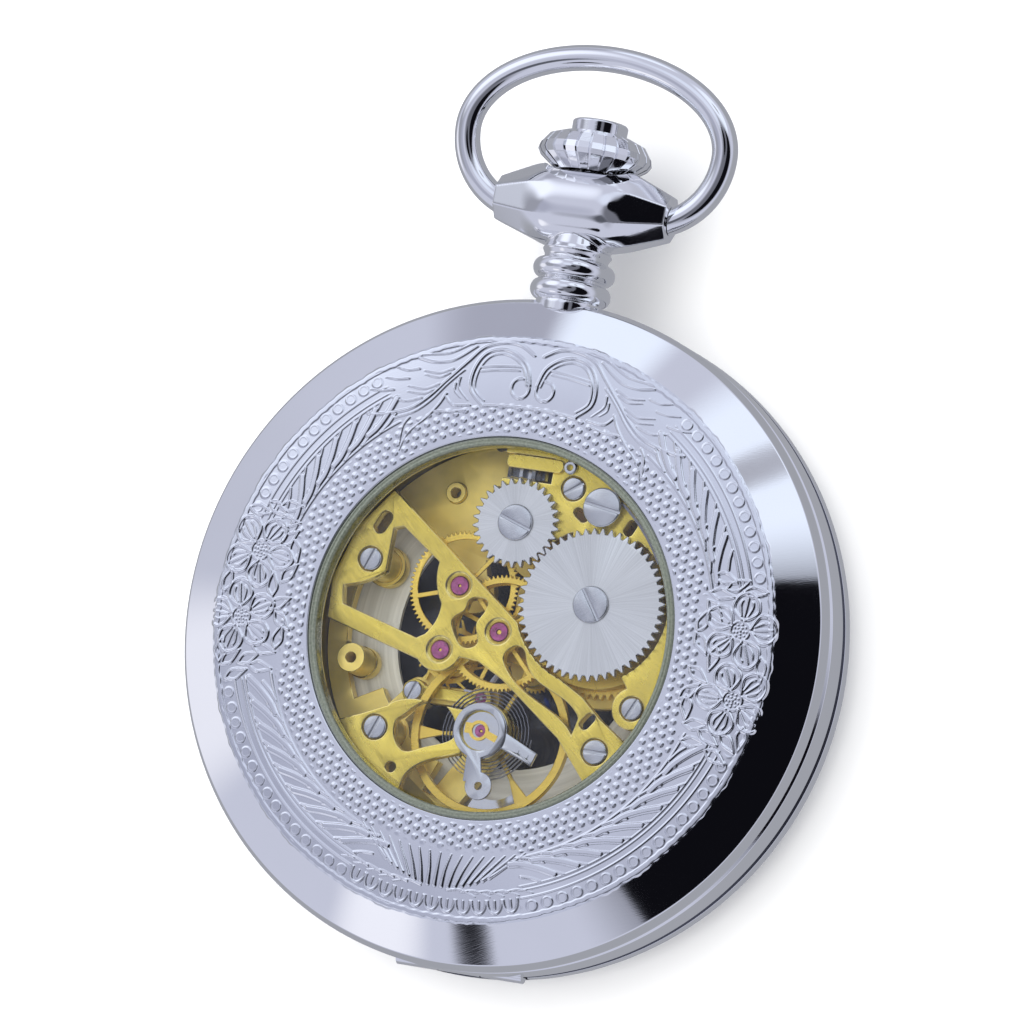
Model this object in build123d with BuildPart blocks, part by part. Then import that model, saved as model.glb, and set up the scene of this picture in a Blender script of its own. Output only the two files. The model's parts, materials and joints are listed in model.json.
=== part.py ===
# Hunter pocket watch with a glazed display back and a hand-wound skeleton movement.
# The watch lies on its closed front lid. Z points out of the back, Y towards the pendant at
# 12 o'clock and X completes the frame. The origin is on the case axis, at the lid's flat centre.
import os
from math import atan2, cos, degrees, hypot, pi, radians, sin

from build123d import *

os.makedirs("parts", exist_ok=True)

# ---------------------------------------------------------------- driving dimensions, mm
CASE_R = 24.0             # outside radius of the case band
BAND_Z = (4.5, 7.6)       # front and back seam planes of the case middle
TOP_Z = 11.2              # outer plane of the display back
WINDOW_R = 13.62          # outside radius of the window gasket
SEAM = 0.1                # open seam between case shells
FIT = 0.03                # running clearance on a radius
BORE_R = 20.8             # bore of the case middle
HINGE_Y = -23.35          # lid hinge axis, set into the band at 6 o'clock
HINGE_Z = 4.45
PENDANT_Z = 7.1           # stem, pendant and crown axis
BARREL_Y = 31.0           # cross tube of the pendant that carries the bow
CROWN_Y = (33.45, 36.3)   # under and top faces of the crown
CROWN_R = 4.1
BUTTON_R = 2.0
BOW_R = 0.93              # bow wire radius
BOW_HALF_WIDTH = 9.75
BOW_RISE = 10.8           # bow wire centre above its pivots
BOW_SWING = 5.0           # degrees that the bow stands up from the case plane

# Movement levels, counted from the lid face
PLATE_Z = (5.0, 6.0)
BRIDGE_Z = (8.5, 9.25)
WHEEL_Z = (9.3, 9.75)     # crown wheel and ratchet wheel
BALANCE_Z = (6.95, 7.55)
SPRING_Z = (7.97, 8.2)    # hairspring
PLATE_R = 14.0
BRIDGE_R = 13.2

# Arbor positions
CENTRE = (0.0, 0.0)
BARREL = (6.63, 2.78)
CROWN_WHEEL = (0.0, 7.78)
THIRD = (-3.52, 2.85)
ESCAPE = (-4.11, -1.85)
PALLET = (-1.28, -4.63)
BALANCE = (0.11, -7.13)
MINUTE = (1.7, -1.7)
CLICK = (6.20, 9.67)
LEVER_PIVOT = (2.75, 13.0)
YOKE_PIVOT = (-2.75, 13.3)

# Tooth counts
CROWN_TEETH, RATCHET_TEETH = 30, 52
BARREL_TEETH, CENTRE_PINION = 72, 12
CENTRE_TEETH, THIRD_PINION = 80, 10
THIRD_TEETH, FOURTH_PINION = 75, 10
FOURTH_TEETH, ESCAPE_PINION = 80, 8
CANNON_TEETH, MINUTE_TEETH = 12, 36
MINUTE_PINION, HOUR_TEETH = 12, 48
WINDING_TEETH = 14

STANDING = (Align.CENTER, Align.CENTER, Align.MIN)


# ---------------------------------------------------------------- shared shapes
def distance(a, b):
    return hypot(b[0] - a[0], b[1] - a[1])


def bearing(a, b):
    """Angle in degrees from point a to point b."""
    return degrees(atan2(b[1] - a[1], b[0] - a[0]))


def pair_module(a, b, teeth_a, teeth_b):
    """Module that puts two wheels in mesh at their arbors."""
    return 2 * distance(a, b) / (teeth_a + teeth_b)


def polar(radius, angle, centre=(0.0, 0.0)):
    return (centre[0] + radius * cos(radians(angle)), centre[1] + radius * sin(radians(angle)))


def post(place, z0, z1, radius, mode=Mode.ADD):
    """Round upright post or hole."""
    with Locations((place[0], place[1], z0)):
        Cylinder(radius, z1 - z0, align=STANDING, mode=mode)


def tooth_points(teeth, module, phase, tip=0.9, root=1.15, foot=0.36, crest=0.1):
    """Outline of a wheel with one tooth centred on the phase angle."""
    pitch = 360 / teeth
    radius = teeth * module / 2
    low, high = radius - root * module, radius + tip * module
    points = []
    for tooth in range(teeth):
        middle = phase + tooth * pitch
        points.append(polar(low, middle - foot * pitch))
        points.append(polar(high, middle - crest * pitch))
        points.append(polar(high, middle + crest * pitch))
        points.append(polar(low, middle + foot * pitch))
    return points


def toothed_disc(place, z0, z1, teeth, module, phase, **shape):
    with BuildSketch(Plane((place[0], place[1], z0))) as outline:
        with BuildLine():
            Polyline(*tooth_points(teeth, module, phase, **shape), close=True)
        make_face()
    extrude(outline.sketch, amount=z1 - z0)


def lighten(place, z0, z1, inner, outer, arms, width, start):
    """Cut the windows between the arms of a wheel."""
    with BuildSketch(Plane((place[0], place[1], z0))) as windows:
        Circle(outer)
        Circle(inner, mode=Mode.SUBTRACT)
        with PolarLocations((inner + outer) / 2, arms, start_angle=start):
            Rectangle(outer - inner + width, width, mode=Mode.SUBTRACT)
    extrude(windows.sketch, amount=z1 - z0, mode=Mode.SUBTRACT)


def slotted_screw(place, z_seat, z_top, head, z_end, shank, angle):
    """Screw with a bevelled cheese head, its slot at the angle, and a plain shank."""
    bevel = 0.08
    slot_width, slot_depth = 0.2, 0.16
    post(place, z_seat, z_top - bevel, head)
    with Locations((place[0], place[1], z_top - bevel)):
        Cone(head, head - bevel, bevel, align=STANDING)
    post(place, z_end, z_seat, shank)
    with Locations(Location((place[0], place[1], z_top), (0, 0, angle))):
        Box(2 * head + 1, slot_width, 2 * slot_depth, mode=Mode.SUBTRACT)


def spiral_points(start_r, end_r, turns, width, start=0.0, step=15):
    """Closed outline of a flat spiral strip."""
    count = int(turns * 360 / step)
    outer, inner = [], []
    for index in range(count + 1):
        radius = start_r + (end_r - start_r) * index / count
        outer.append(polar(radius + width / 2, start + index * step))
        inner.append(polar(radius - width / 2, start + index * step))
    return outer + inner[::-1]


def save(piece, name):
    piece.part.label = name
    export_step(piece.part, f"parts/{name}.step")


# ================================================================ case
RIM_R = CASE_R - 0.15     # band edge beside a seam
SKIRT_R = 22.32           # inside radius of the snap-on shells

# Case middle: the band, with a lip at each side that the snap-on shells grip.
with BuildPart() as case_middle:
    with BuildSketch(Plane.XZ):
        with BuildLine():
            Polyline(
                (BORE_R, 3.7), (21.6, 3.7), (21.6, BAND_Z[0]), (RIM_R, BAND_Z[0]),
                (CASE_R, BAND_Z[0] + 0.45), (CASE_R, BAND_Z[1] - 0.45), (RIM_R, BAND_Z[1]), (22.3, BAND_Z[1]), (22.3, 8.3), (21.6, 8.3),
                (21.6, 7.5), (BORE_R, 7.5), close=True,
            )
        make_face()
    revolve(axis=Axis.Z)
    # Relief for the lid hinge, with two knuckles left in it
    with Locations(Location((0, HINGE_Y, HINGE_Z), (0, 90, 0))):
        Cylinder(1.15, 11.2, mode=Mode.SUBTRACT)
    for side in (-1, 1):
        with Locations(Location((side * 3.2, HINGE_Y, HINGE_Z), (0, 90, 0))):
            Cylinder(0.6, 3.1)
        with Locations((side * 3.2, HINGE_Y + 0.35, HINGE_Z + 0.75)):
            Box(3.1, 0.9, 1.3)
    with Locations(Location((0, HINGE_Y, HINGE_Z), (0, 90, 0))):
        Cylinder(0.3, 9.5, mode=Mode.SUBTRACT)
    # Hole for the pendant foot and the stem, and the pocket of the lid catch
    with Locations(Location((0, 22.0, PENDANT_Z), (-90, 0, 0))):
        Cylinder(1.25, 4, align=STANDING, mode=Mode.SUBTRACT)
    with Locations(Location((0, 23.15, PENDANT_Z), (-90, 0, 0))):
        Cylinder(2.37, 2, align=STANDING, mode=Mode.SUBTRACT)
    with Locations((0, 21.95, 3.0)):
        Box(3.6, 1.3, 6, align=STANDING, mode=Mode.SUBTRACT)
    with Locations((0, 20.6, PENDANT_Z)):
        Box(2.2, 2.4, 2.2, mode=Mode.SUBTRACT)
save(case_middle, "case_middle")

# Back cover: engraved ring with a polished bevel, open for the window, notched round the neck.
with BuildPart() as back_cover:
    with BuildSketch(Plane.XZ):
        with BuildLine():
            Polyline(
                (WINDOW_R + FIT, TOP_Z), (14.3, TOP_Z), (17.6, 11.12), (20.8, 10.85), (22.95, 9.5),
                (23.65, 9.0), (CASE_R, 8.35), (RIM_R, BAND_Z[1] + SEAM), (SKIRT_R, BAND_Z[1] + SEAM), (SKIRT_R, 8.6),
                (21.2, 9.35), (20.0, 9.95), (13.3, 10.0), (13.3, 9.8), (13.0, 9.8), (13.0, 10.03),
                (WINDOW_R + FIT, 10.03), close=True,
            )
        make_face()
    revolve(axis=Axis.Z)
    with Locations(Location((0, 21.5, PENDANT_Z), (-90, 0, 0))):
        Cylinder(2.42, 4, align=STANDING, mode=Mode.SUBTRACT)
save(back_cover, "back_cover")

# Gasket: the grey-green ring that holds the display glass.
with BuildPart() as crystal_gasket:
    with BuildSketch(Plane.XZ):
        with BuildLine():
            Polyline(
                (13.0, 10.06), (WINDOW_R, 10.06), (WINDOW_R, TOP_Z - 0.04), (WINDOW_R - 0.12, TOP_Z),
                (13.12, TOP_Z), (13.0, TOP_Z - 0.12), close=True,
            )
        make_face()
    revolve(axis=Axis.Z)
save(crystal_gasket, "crystal_gasket")

with BuildPart() as back_crystal:
    post(CENTRE, 10.1, 10.95, 12.98)
    chamfer(back_crystal.edges().group_by(Axis.Z)[-1], 0.12)
save(back_crystal, "back_crystal")

# Front bezel: snaps on the front lip and seats the crystal over the dial.
with BuildPart() as front_bezel:
    with BuildSketch(Plane.XZ):
        with BuildLine():
            Polyline(
                (18.9, 2.35), (19.42, 2.35), (19.42, 1.75), (20.9, 1.75), (22.3, 3.0), (22.3, 4.42),
                (21.62, 4.42), (21.62, 3.68), (18.9, 3.68), close=True,
            )
        make_face()
    revolve(axis=Axis.Z)
    with Locations((0, 22.3, 1.0)):
        Box(3.9, 2.0, 4, align=STANDING, mode=Mode.SUBTRACT)
save(front_bezel, "front_bezel")

with BuildPart() as front_crystal:
    post(CENTRE, 1.45, 2.33, 19.4)
    chamfer(front_crystal.edges().group_by(Axis.Z)[0], 0.2)
save(front_crystal, "front_crystal")

# Front lid: a hollow cover over the dial, hinged at 6 o'clock.
with BuildPart() as front_lid:
    with BuildSketch(Plane.XZ):
        with BuildLine():
            Polyline(
                (0, 0), (13.0, 0), (17.6, 0.12), (20.8, 0.5), (22.95, 1.9), (23.65, 2.5), (CASE_R, 3.2),
                (CASE_R, 4.0), (RIM_R, BAND_Z[0] - SEAM), (22.65, BAND_Z[0] - SEAM), (22.65, 2.75),
                (21.6, 1.7), (20.3, 1.25), (13.0, 0.8), (0, 0.8), close=True,
            )
        make_face()
    revolve(axis=Axis.Z)
    with Locations(Location((0, HINGE_Y, HINGE_Z), (0, 90, 0))):
        Cylinder(1.0, 11.2, mode=Mode.SUBTRACT)
        Cylinder(0.6, 3.1)
    with Locations((0, HINGE_Y + 0.35, HINGE_Z - 0.8)):
        Box(3.1, 0.9, 1.3)
    with Locations(Location((0, HINGE_Y, HINGE_Z), (0, 90, 0))):
        Cylinder(0.3 + FIT, 3.3, mode=Mode.SUBTRACT)
    # Ledge that the catch holds
    with Locations((0, 22.7, 3.4)):
        Box(2.0, 0.6, 0.3, align=STANDING)
save(front_lid, "front_lid")

with BuildPart() as lid_hinge_pin:
    with Locations(Location((0, HINGE_Y, HINGE_Z), (0, 90, 0))):
        Cylinder(0.3, 9.4)
save(lid_hinge_pin, "lid_hinge_pin")

# Lid catch: a sliding plate that straddles the stem, its nose beside the lid's ledge.
CATCH_Y = 22.0
with BuildPart() as lid_catch:
    with Locations((0, CATCH_Y + 0.175, 3.0)):
        Box(3.2, 0.35, 5.1, align=STANDING)
    with Locations(Location((0, CATCH_Y - 0.5, PENDANT_Z), (-90, 0, 0))):
        Cylinder(0.85, 2, align=STANDING, mode=Mode.SUBTRACT)
save(lid_catch, "lid_catch")


def case_spring(first, last):
    """Strip of spring steel that lies in the groove between the case and the movement ring."""
    inner, outer, low, high = 20.08, 20.4, 4.75, 6.3
    with BuildSketch(Plane((0, 0, low))) as strip:
        with BuildLine():
            CenterArc((0, 0), outer, first, last - first)
            CenterArc((0, 0), inner, first, last - first)
            Line(polar(inner, first), polar(outer, first))
            Line(polar(inner, last), polar(outer, last))
        make_face()
    extrude(strip.sketch, amount=high - low)


with BuildPart() as catch_spring:
    case_spring(98, 165)
save(catch_spring, "catch_spring")

with BuildPart() as lift_spring:
    case_spring(15, 82)
save(lift_spring, "lift_spring")

# Movement ring: holds the movement in the case bore. The stem passes through its slot.
with BuildPart() as movement_ring:
    with BuildSketch(Plane.XZ):
        with BuildLine():
            Polyline(
                (13.2, 4.52), (19.95, 4.52), (19.95, 6.6), (BORE_R - 0.05, 6.6), (BORE_R - 0.05, 7.5),
                (PLATE_R + 0.03, 7.5), (PLATE_R + 0.03, 4.98), (13.2, 4.98), close=True,
            )
        make_face()
    revolve(axis=Axis.Z)
    with Locations((0, 17.5, 5.8)):
        Box(2.4, 8, 3, align=STANDING, mode=Mode.SUBTRACT)
    for angle in (30, 150, 270):
        post(polar(20.0, angle), 6.7, 8, 0.43, Mode.SUBTRACT)
save(movement_ring, "movement_ring")

with BuildPart() as case_screws:
    for angle in (30, 150, 270):
        slotted_screw(polar(20.0, angle), 7.52, 8.0, 0.95, 6.75, 0.4, angle + 20)
save(case_screws, "case_screws")

# ================================================================ pendant, bow and crown
NECK = Plane(origin=(0, 0, PENDANT_Z), x_dir=(1, 0, 0), z_dir=(0, 0, 1))

# Pendant: a foot in the band, two beads and a collar, under an eight-sided cross barrel.
BARREL_HALF = 6.5         # half length of the cross barrel
BARREL_R = 2.8            # round middle of the barrel
FACET = (2.1, 5.8)        # where the flat tapers start and end
FACET_R = (2.9, 1.6)      # radius to their edges at each end
FACET_HALF = 17.0         # half the angle that the front flat covers
FLANGE_R = 1.6            # round flange at each end
SADDLE_Y = CROWN_Y[0] - 0.1


def facet_points(radius):
    """Eight-sided section with narrow front, back, top and bottom flats."""
    angles = [quarter + side * FACET_HALF for quarter in (0, 90, 180, 270) for side in (-1, 1)]
    return [polar(radius, angle) for angle in angles]


def barrel_half(side):
    """Flat-sided taper from the middle of the cross barrel to its round end flange."""
    sections = []
    for reach, radius in zip(FACET, FACET_R):
        section_plane = Plane((side * reach, BARREL_Y, PENDANT_Z), x_dir=(0, 1, 0), z_dir=(side, 0, 0))
        with BuildSketch(section_plane) as section:
            Polygon(*facet_points(radius), align=None)
        sections.append(section.sketch)
    loft(sections)
    with Locations(Location((side * FACET[1], BARREL_Y, PENDANT_Z), (0, side * 90, 0))):
        Cylinder(FLANGE_R, BARREL_HALF - FACET[1], align=STANDING)


with BuildPart() as pendant:
    with BuildSketch(NECK):
        with BuildLine():
            Line((0, 23.2), (2.35, 23.2))
            Line((2.35, 23.2), (2.35, 24.15))
            ThreePointArc((2.35, 24.15), (2.9, 24.85), (2.3, 25.6))
            ThreePointArc((2.3, 25.6), (2.95, 26.45), (2.35, 27.2))
            Line((2.35, 27.2), (2.5, 27.45))
            Line((2.5, 27.45), (2.3, 27.9))
            Line((2.3, 27.9), (2.1, 30.0))
            Line((2.1, 30.0), (0, 30.0))
            Line((0, 30.0), (0, 23.2))
        make_face()
    revolve(axis=Axis((0, 0, PENDANT_Z), (0, 1, 0)))
    with Locations(Location((0, BARREL_Y, PENDANT_Z), (0, 90, 0))):
        Cylinder(BARREL_R, 2 * FACET[0])
    barrel_half(-1)
    barrel_half(1)
    # Shoulders each side of the saddle, then the saddle that the crown sits down in
    with BuildSketch(Plane((0, BARREL_Y, PENDANT_Z))) as shoulders:
        with BuildLine():
            Polyline((-5.6, 1.3), (-3.8, 2.85), (3.8, 2.85), (5.6, 1.3), close=True)
        make_face()
    extrude(shoulders.sketch, amount=1.2, both=True)
    # Chin that runs down into the collar
    with Locations(Location((0, 27.3, PENDANT_Z), (-90, 0, 0))):
        Cone(2.3, 3.0, 1.6, align=STANDING)
    with Locations(Location((0, SADDLE_Y, PENDANT_Z), (-90, 0, 0))):
        Cone(2.72, 4.4, 1.3, align=STANDING, mode=Mode.SUBTRACT)
    # Bores for the bow's ends and for the crown's tube
    for side in (-1, 1):
        with Locations(Location((side * 6.0, BARREL_Y, PENDANT_Z), (0, 90, 0))):
            Cylinder(0.75, 2.4, mode=Mode.SUBTRACT)
    with Locations(Location((0, 23.0, PENDANT_Z), (-90, 0, 0))):
        Cylinder(1.2, 2.0, align=STANDING, mode=Mode.SUBTRACT)
        Cylinder(0.8, 12, align=STANDING, mode=Mode.SUBTRACT)
save(pendant, "pendant")

# Bow: one bent wire, egg-shaped, whose ends run in to the barrel's flanges on a slant.
bow_up = (0, cos(radians(BOW_SWING)), sin(radians(BOW_SWING)))
BOW_PLANE = Plane(
    origin=(0, BARREL_Y, PENDANT_Z), x_dir=(1, 0, 0), z_dir=(0, -bow_up[2], bow_up[1])
)
BOW_WAIST = 4.8           # height of the widest point above the pivots
BOW_TUCK_R = 6.3          # radius that turns the ends in
BOW_TUCK = 50.0           # degrees that they turn
TUCK_X = BOW_HALF_WIDTH - BOW_TUCK_R
BOW_END = (
    TUCK_X + BOW_TUCK_R * cos(radians(BOW_TUCK)),
    BARREL_Y + (BOW_WAIST - BOW_TUCK_R * sin(radians(BOW_TUCK))) * bow_up[1],
    PENDANT_Z + (BOW_WAIST - BOW_TUCK_R * sin(radians(BOW_TUCK))) * bow_up[2],
)
END_WAY = (sin(radians(BOW_TUCK)), cos(radians(BOW_TUCK)) * bow_up[1], cos(radians(BOW_TUCK)) * bow_up[2])
with BuildPart() as bow:
    with BuildLine(BOW_PLANE) as bow_wire:
        CenterArc((TUCK_X, BOW_WAIST), BOW_TUCK_R, -BOW_TUCK, BOW_TUCK)
        EllipticalCenterArc((0, BOW_WAIST), BOW_HALF_WIDTH, BOW_RISE - BOW_WAIST, 0, arc_size=180)
        CenterArc((-TUCK_X, BOW_WAIST), BOW_TUCK_R, 180, BOW_TUCK)
    with BuildSketch(Plane(BOW_END, z_dir=END_WAY)):
        Circle(BOW_R)
    sweep(path=bow_wire.line)
    for side in (-1, 1):
        with Locations(Location((side * 6.4, BARREL_Y, PENDANT_Z), (0, 90, 0))):
            Cylinder(0.72, 2.0)
save(bow, "bow")

# Crown: a ridged onion on a tube that slides in the pendant. Its square end drives the stem.
RIDGES = 26
RIDGE_WIDTH = 0.72
RIDGE_HEIGHT = 0.22
BUTTON_SEAT = 34.7        # floor of the pocket for the button and its spring


def onion(shrink):
    """Crown body of revolution, its side a given distance inside the ridge tops."""
    y0, y1 = CROWN_Y
    with BuildSketch(NECK) as outline:
        with BuildLine():
            Polyline(
                (0, y0), (2.6 - shrink, y0), (3.9 - shrink, y0 + 0.95), (CROWN_R - shrink, y0 + 1.3),
                (4.0 - shrink, y0 + 1.75), (3.5 - shrink, y1 - 0.4), (2.4 - shrink, y1), (0, y1),
                close=True,
            )
        make_face()
    revolve(outline.sketch, axis=Axis((0, 0, PENDANT_Z), (0, 1, 0)))


with BuildPart() as crown:
    onion(0)
    with BuildSketch(Plane((0, CROWN_Y[0], PENDANT_Z), x_dir=(1, 0, 0), z_dir=(0, 1, 0))) as ridges:
        Circle(2.3)
        with PolarLocations(3.2, RIDGES):
            Rectangle(3.0, RIDGE_WIDTH)
    extrude(ridges.sketch, amount=3, mode=Mode.INTERSECT)
    onion(RIDGE_HEIGHT)
    with Locations(Location((0, 21.6, PENDANT_Z), (-90, 0, 0))):
        Cylinder(0.75, CROWN_Y[0] - 21.6 + 0.3, align=STANDING)
    with Locations((0, 20.4, PENDANT_Z)):
        Box(0.86, 2.4, 0.86)
    with Locations(Location((0, BUTTON_SEAT, PENDANT_Z), (-90, 0, 0))):
        Cylinder(BUTTON_R + FIT, 3, align=STANDING, mode=Mode.SUBTRACT)
    with Locations(Location((0, 21.75, PENDANT_Z), (-90, 0, 0))):
        Cylinder(0.3 + FIT, 16, align=STANDING, mode=Mode.SUBTRACT)
    with Locations((0, 22.3, PENDANT_Z)):
        Box(3, 0.95, 0.34, mode=Mode.SUBTRACT)
save(crown, "crown")

# Release button: its rod runs down the crown's tube to a cross pin that pushes the catch.
with BuildPart() as release_button:
    with Locations(Location((0, 35.85, PENDANT_Z), (-90, 0, 0))):
        Cylinder(BUTTON_R, 1.45, align=STANDING)
    chamfer(release_button.edges().sort_by(Axis.Y)[-1], 0.2)
    with Locations(Location((0, 22.4, PENDANT_Z), (-90, 0, 0))):
        Cylinder(0.3, 13.6, align=STANDING)
    with Locations(Location((0, 22.56, PENDANT_Z), (0, 90, 0))):
        Cylinder(0.15, 2.3)
save(release_button, "release_button")

# Coil spring under the button, at its pressed height
BUTTON_COIL = (BUTTON_SEAT + 0.1, 0.42)   # its start and its pressed height
with BuildPart() as button_spring:
    with BuildLine() as coil:
        Helix(
            pitch=0.2, height=BUTTON_COIL[1], radius=1.3, center=(0, BUTTON_COIL[0], PENDANT_Z), direction=(0, 1, 0)
        )
    with BuildSketch(Plane(coil.line @ 0, z_dir=coil.line % 0)):
        Circle(0.07)
    sweep(path=coil.line)
save(button_spring, "button_spring")

# Winding stem: a square socket for the crown's end, and the seat of the two pinions.
with BuildPart() as winding_stem:
    with Locations(Location((0, 18.9, PENDANT_Z), (-90, 0, 0))):
        Cylinder(0.95, 2.0, align=STANDING)
    with Locations((0, 20.4, PENDANT_Z)):
        Box(0.92, 2.6, 0.92, mode=Mode.SUBTRACT)
    with Locations(Location((0, 9.4, PENDANT_Z), (-90, 0, 0))):
        Cylinder(0.45, 9.6, align=STANDING)
save(winding_stem, "winding_stem")


def stem_pinion(y0, y1, teeth, tip_r, root_r, bore_r):
    """Pinion on the stem, cut as a star prism along Y."""
    points = []
    for tooth in range(teeth):
        middle = 360 * tooth / teeth
        points += [polar(root_r, middle - 8.5), polar(tip_r, middle - 3.5)]
        points += [polar(tip_r, middle + 3.5), polar(root_r, middle + 8.5)]
    with BuildSketch(Plane(origin=(0, y0, PENDANT_Z), x_dir=(1, 0, 0), z_dir=(0, 1, 0))) as star:
        with BuildLine():
            Polyline(*points, close=True)
        make_face()
        Circle(bore_r, mode=Mode.SUBTRACT)
    extrude(star.sketch, amount=y1 - y0)


with BuildPart() as winding_pinion:
    stem_pinion(11.1, 12.6, WINDING_TEETH, 2.1, 1.5, 0.46)
save(winding_pinion, "winding_pinion")

with BuildPart() as sliding_pinion:
    stem_pinion(13.3, 14.0, WINDING_TEETH, 1.3, 0.95, 0.46)
    with Locations(Location((0, 14.0, PENDANT_Z), (-90, 0, 0))):
        Cylinder(0.8, 0.4, align=STANDING)
        Cylinder(1.1, 0.2, align=STANDING)
        Cylinder(0.46, 1, align=STANDING, mode=Mode.SUBTRACT)
save(sliding_pinion, "sliding_pinion")

# ================================================================ movement frame
BRIDGE_SCREWS = [
    ((3.65, 10.78), 0.82, 35), ((10.80, -4.02), 0.8, 65), ((-10.46, 3.82), 0.83, 70),
    ((8.67, -7.41), 0.89, 0), ((-7.87, -7.96), 0.85, 70),
]
PALLET_SCREW = (-6.33, -4.81)
LEFT_BOSS = (-10.93, -3.24)
PILLAR_R = 1.2

# Main plate: a rim with arms to every arbor, and pillars under the bridge feet.
with BuildPart() as main_plate:
    with BuildSketch(Plane.XY.offset(PLATE_Z[0])):
        Circle(PLATE_R)
        Circle(12.5, mode=Mode.SUBTRACT)
        with Locations(BARREL):
            Circle(6.9)
        # Upper left quarter under the crown wheel
        with BuildLine():
            CenterArc((0, 0), 13, 55, 90)
            Line(polar(13, 145), (-5.0, 4.6))
            ThreePointArc((-5.0, 4.6), (-2.2, 5.2), (0.5, 4.0))
            Line((0.5, 4.0), polar(13, 55))
        make_face()
        with Locations(THIRD, CENTRE, ESCAPE, BALANCE, MINUTE):
            Circle(1.55)
        with Locations(PALLET, PALLET_SCREW, LEFT_BOSS):
            Circle(1.15)
        for place, _, _ in BRIDGE_SCREWS:
            with Locations(place):
                Circle(1.5)
        # Arms from boss to boss
        for start, end, width in (
            (THIRD, (-4.5, 6.5), 2.2), (CENTRE, BARREL, 2.6), (CENTRE, ESCAPE, 1.9), (CENTRE, MINUTE, 2.0),
            (PALLET, PALLET_SCREW, 1.3), (PALLET_SCREW, (-9.5, -8.6), 1.8), (BALANCE, (-3.4, -12.7), 2.2),
            (LEFT_BOSS, (-12.9, -2.5), 1.6), ((8.67, -7.41), (9.7, -8.6), 3.0),
            ((-7.87, -7.96), (-9.0, -9.2), 3.0), ((10.80, -4.02), (12.2, -4.4), 2.2),
            ((-10.46, 3.82), (-12.2, 4.3), 2.2), (ESCAPE, PALLET_SCREW, 1.2),
            (BALANCE, PALLET, 1.1),
        ):
            middle = ((start[0] + end[0]) / 2, (start[1] + end[1]) / 2)
            with Locations(Location(middle, bearing(start, end))):
                Rectangle(distance(start, end), width)
        # Foot of the balance cock along the rim
        with BuildLine():
            CenterArc((0, 0), 13, 208, 40)
            CenterArc((0, 0), 10.2, 208, 40)
            Line(polar(10.2, 208), polar(13, 208))
            Line(polar(10.2, 248), polar(13, 248))
        make_face()
        Circle(PLATE_R, mode=Mode.INTERSECT)
    extrude(amount=PLATE_Z[1] - PLATE_Z[0])
    for place, _, _ in BRIDGE_SCREWS:
        post(place, PLATE_Z[1], BRIDGE_Z[0], PILLAR_R)
        post(place, PLATE_Z[0], BRIDGE_Z[0], 0.45, Mode.SUBTRACT)
    post(PALLET_SCREW, PLATE_Z[1], 6.5, 0.85)
    post(PALLET_SCREW, PLATE_Z[0], 6.5, 0.45, Mode.SUBTRACT)
    post(LEFT_BOSS, PLATE_Z[1], 8.4, 1.05)
    post(LEFT_BOSS, PLATE_Z[0], 8.4, 0.37, Mode.SUBTRACT)
    post((-6.1, 9.7), PLATE_Z[1], 6.35, 0.75)
    post((-6.1, 9.7), PLATE_Z[0], 6.4, 0.36, Mode.SUBTRACT)
    post((-3.0, 10.2), PLATE_Z[0], PLATE_Z[1], 0.4, Mode.SUBTRACT)
    # Clearance for the arbors, the jewels and the winding pinion
    for place in (THIRD, ESCAPE, PALLET, BALANCE):
        post(place, PLATE_Z[0], PLATE_Z[1], 0.6, Mode.SUBTRACT)
    post(CENTRE, PLATE_Z[0], PLATE_Z[1], 0.46, Mode.SUBTRACT)
    for place, hole in ((MINUTE, 0.27), (LEVER_PIVOT, 0.23), (YOKE_PIVOT, 0.23)):
        post(place, PLATE_Z[0], PLATE_Z[1], hole, Mode.SUBTRACT)
    post(BARREL, PLATE_Z[0], PLATE_Z[1], 0.85, Mode.SUBTRACT)
    with Locations((0, 12.9, 4.5)):
        Box(4.4, 4.1, 3, align=STANDING, mode=Mode.SUBTRACT)
save(main_plate, "main_plate")

# Barrel bridge: a crescent round the ratchet wheel, with seats for both steel wheels.
with BuildPart() as barrel_bridge:
    with BuildSketch(Plane.XY.offset(BRIDGE_Z[0])):
        with BuildLine():
            CenterArc((0, 0), BRIDGE_R, -24, 122)
            Line(polar(BRIDGE_R, 98), (-1.8, 10.1))
            Line((-1.8, 10.1), (-1.0, 8.0))
            Line((-1.0, 8.0), (2.2, 8.6))
            Line((2.2, 8.6), (3.2, 5.0))
            Line((3.2, 5.0), (9.8, -2.2))
            Line((9.8, -2.2), polar(BRIDGE_R, -24))
        make_face()
        with Locations(BARREL):
            Circle(5.5, mode=Mode.SUBTRACT)
            Circle(2.6)
        with BuildLine():
            Polyline((4.0, 9.3), (4.6, 3.4), (8.6, 3.0), (9.2, 9.3), close=True)
        make_face()
        with Locations(CROWN_WHEEL):
            Circle(2.6)
        with Locations((10.80, -4.02)):
            Circle(1.5)
        # Slot over the winding pinion
        with Locations((0.0, 11.8)):
            Rectangle(3.8, 1.8, mode=Mode.SUBTRACT)
        # Kidney holes at each side of the click
        for place, turn in (((4.55, 9.0), -35), ((8.35, 8.55), 65)):
            with Locations(Location(place, turn)):
                SlotOverall(1.2, 0.7, mode=Mode.SUBTRACT)
    extrude(amount=BRIDGE_Z[1] - BRIDGE_Z[0])
    for place, hole in ((BARREL, 0.84), (CROWN_WHEEL, 0.72), (CLICK, 0.44)):
        post(place, BRIDGE_Z[0], BRIDGE_Z[1], hole, Mode.SUBTRACT)
    for place, head, _ in BRIDGE_SCREWS[:2]:
        post(place, BRIDGE_Z[0], BRIDGE_Z[1], 0.42, Mode.SUBTRACT)
        post(place, BRIDGE_Z[1] - 0.3, BRIDGE_Z[1], head + 0.07, Mode.SUBTRACT)
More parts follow.
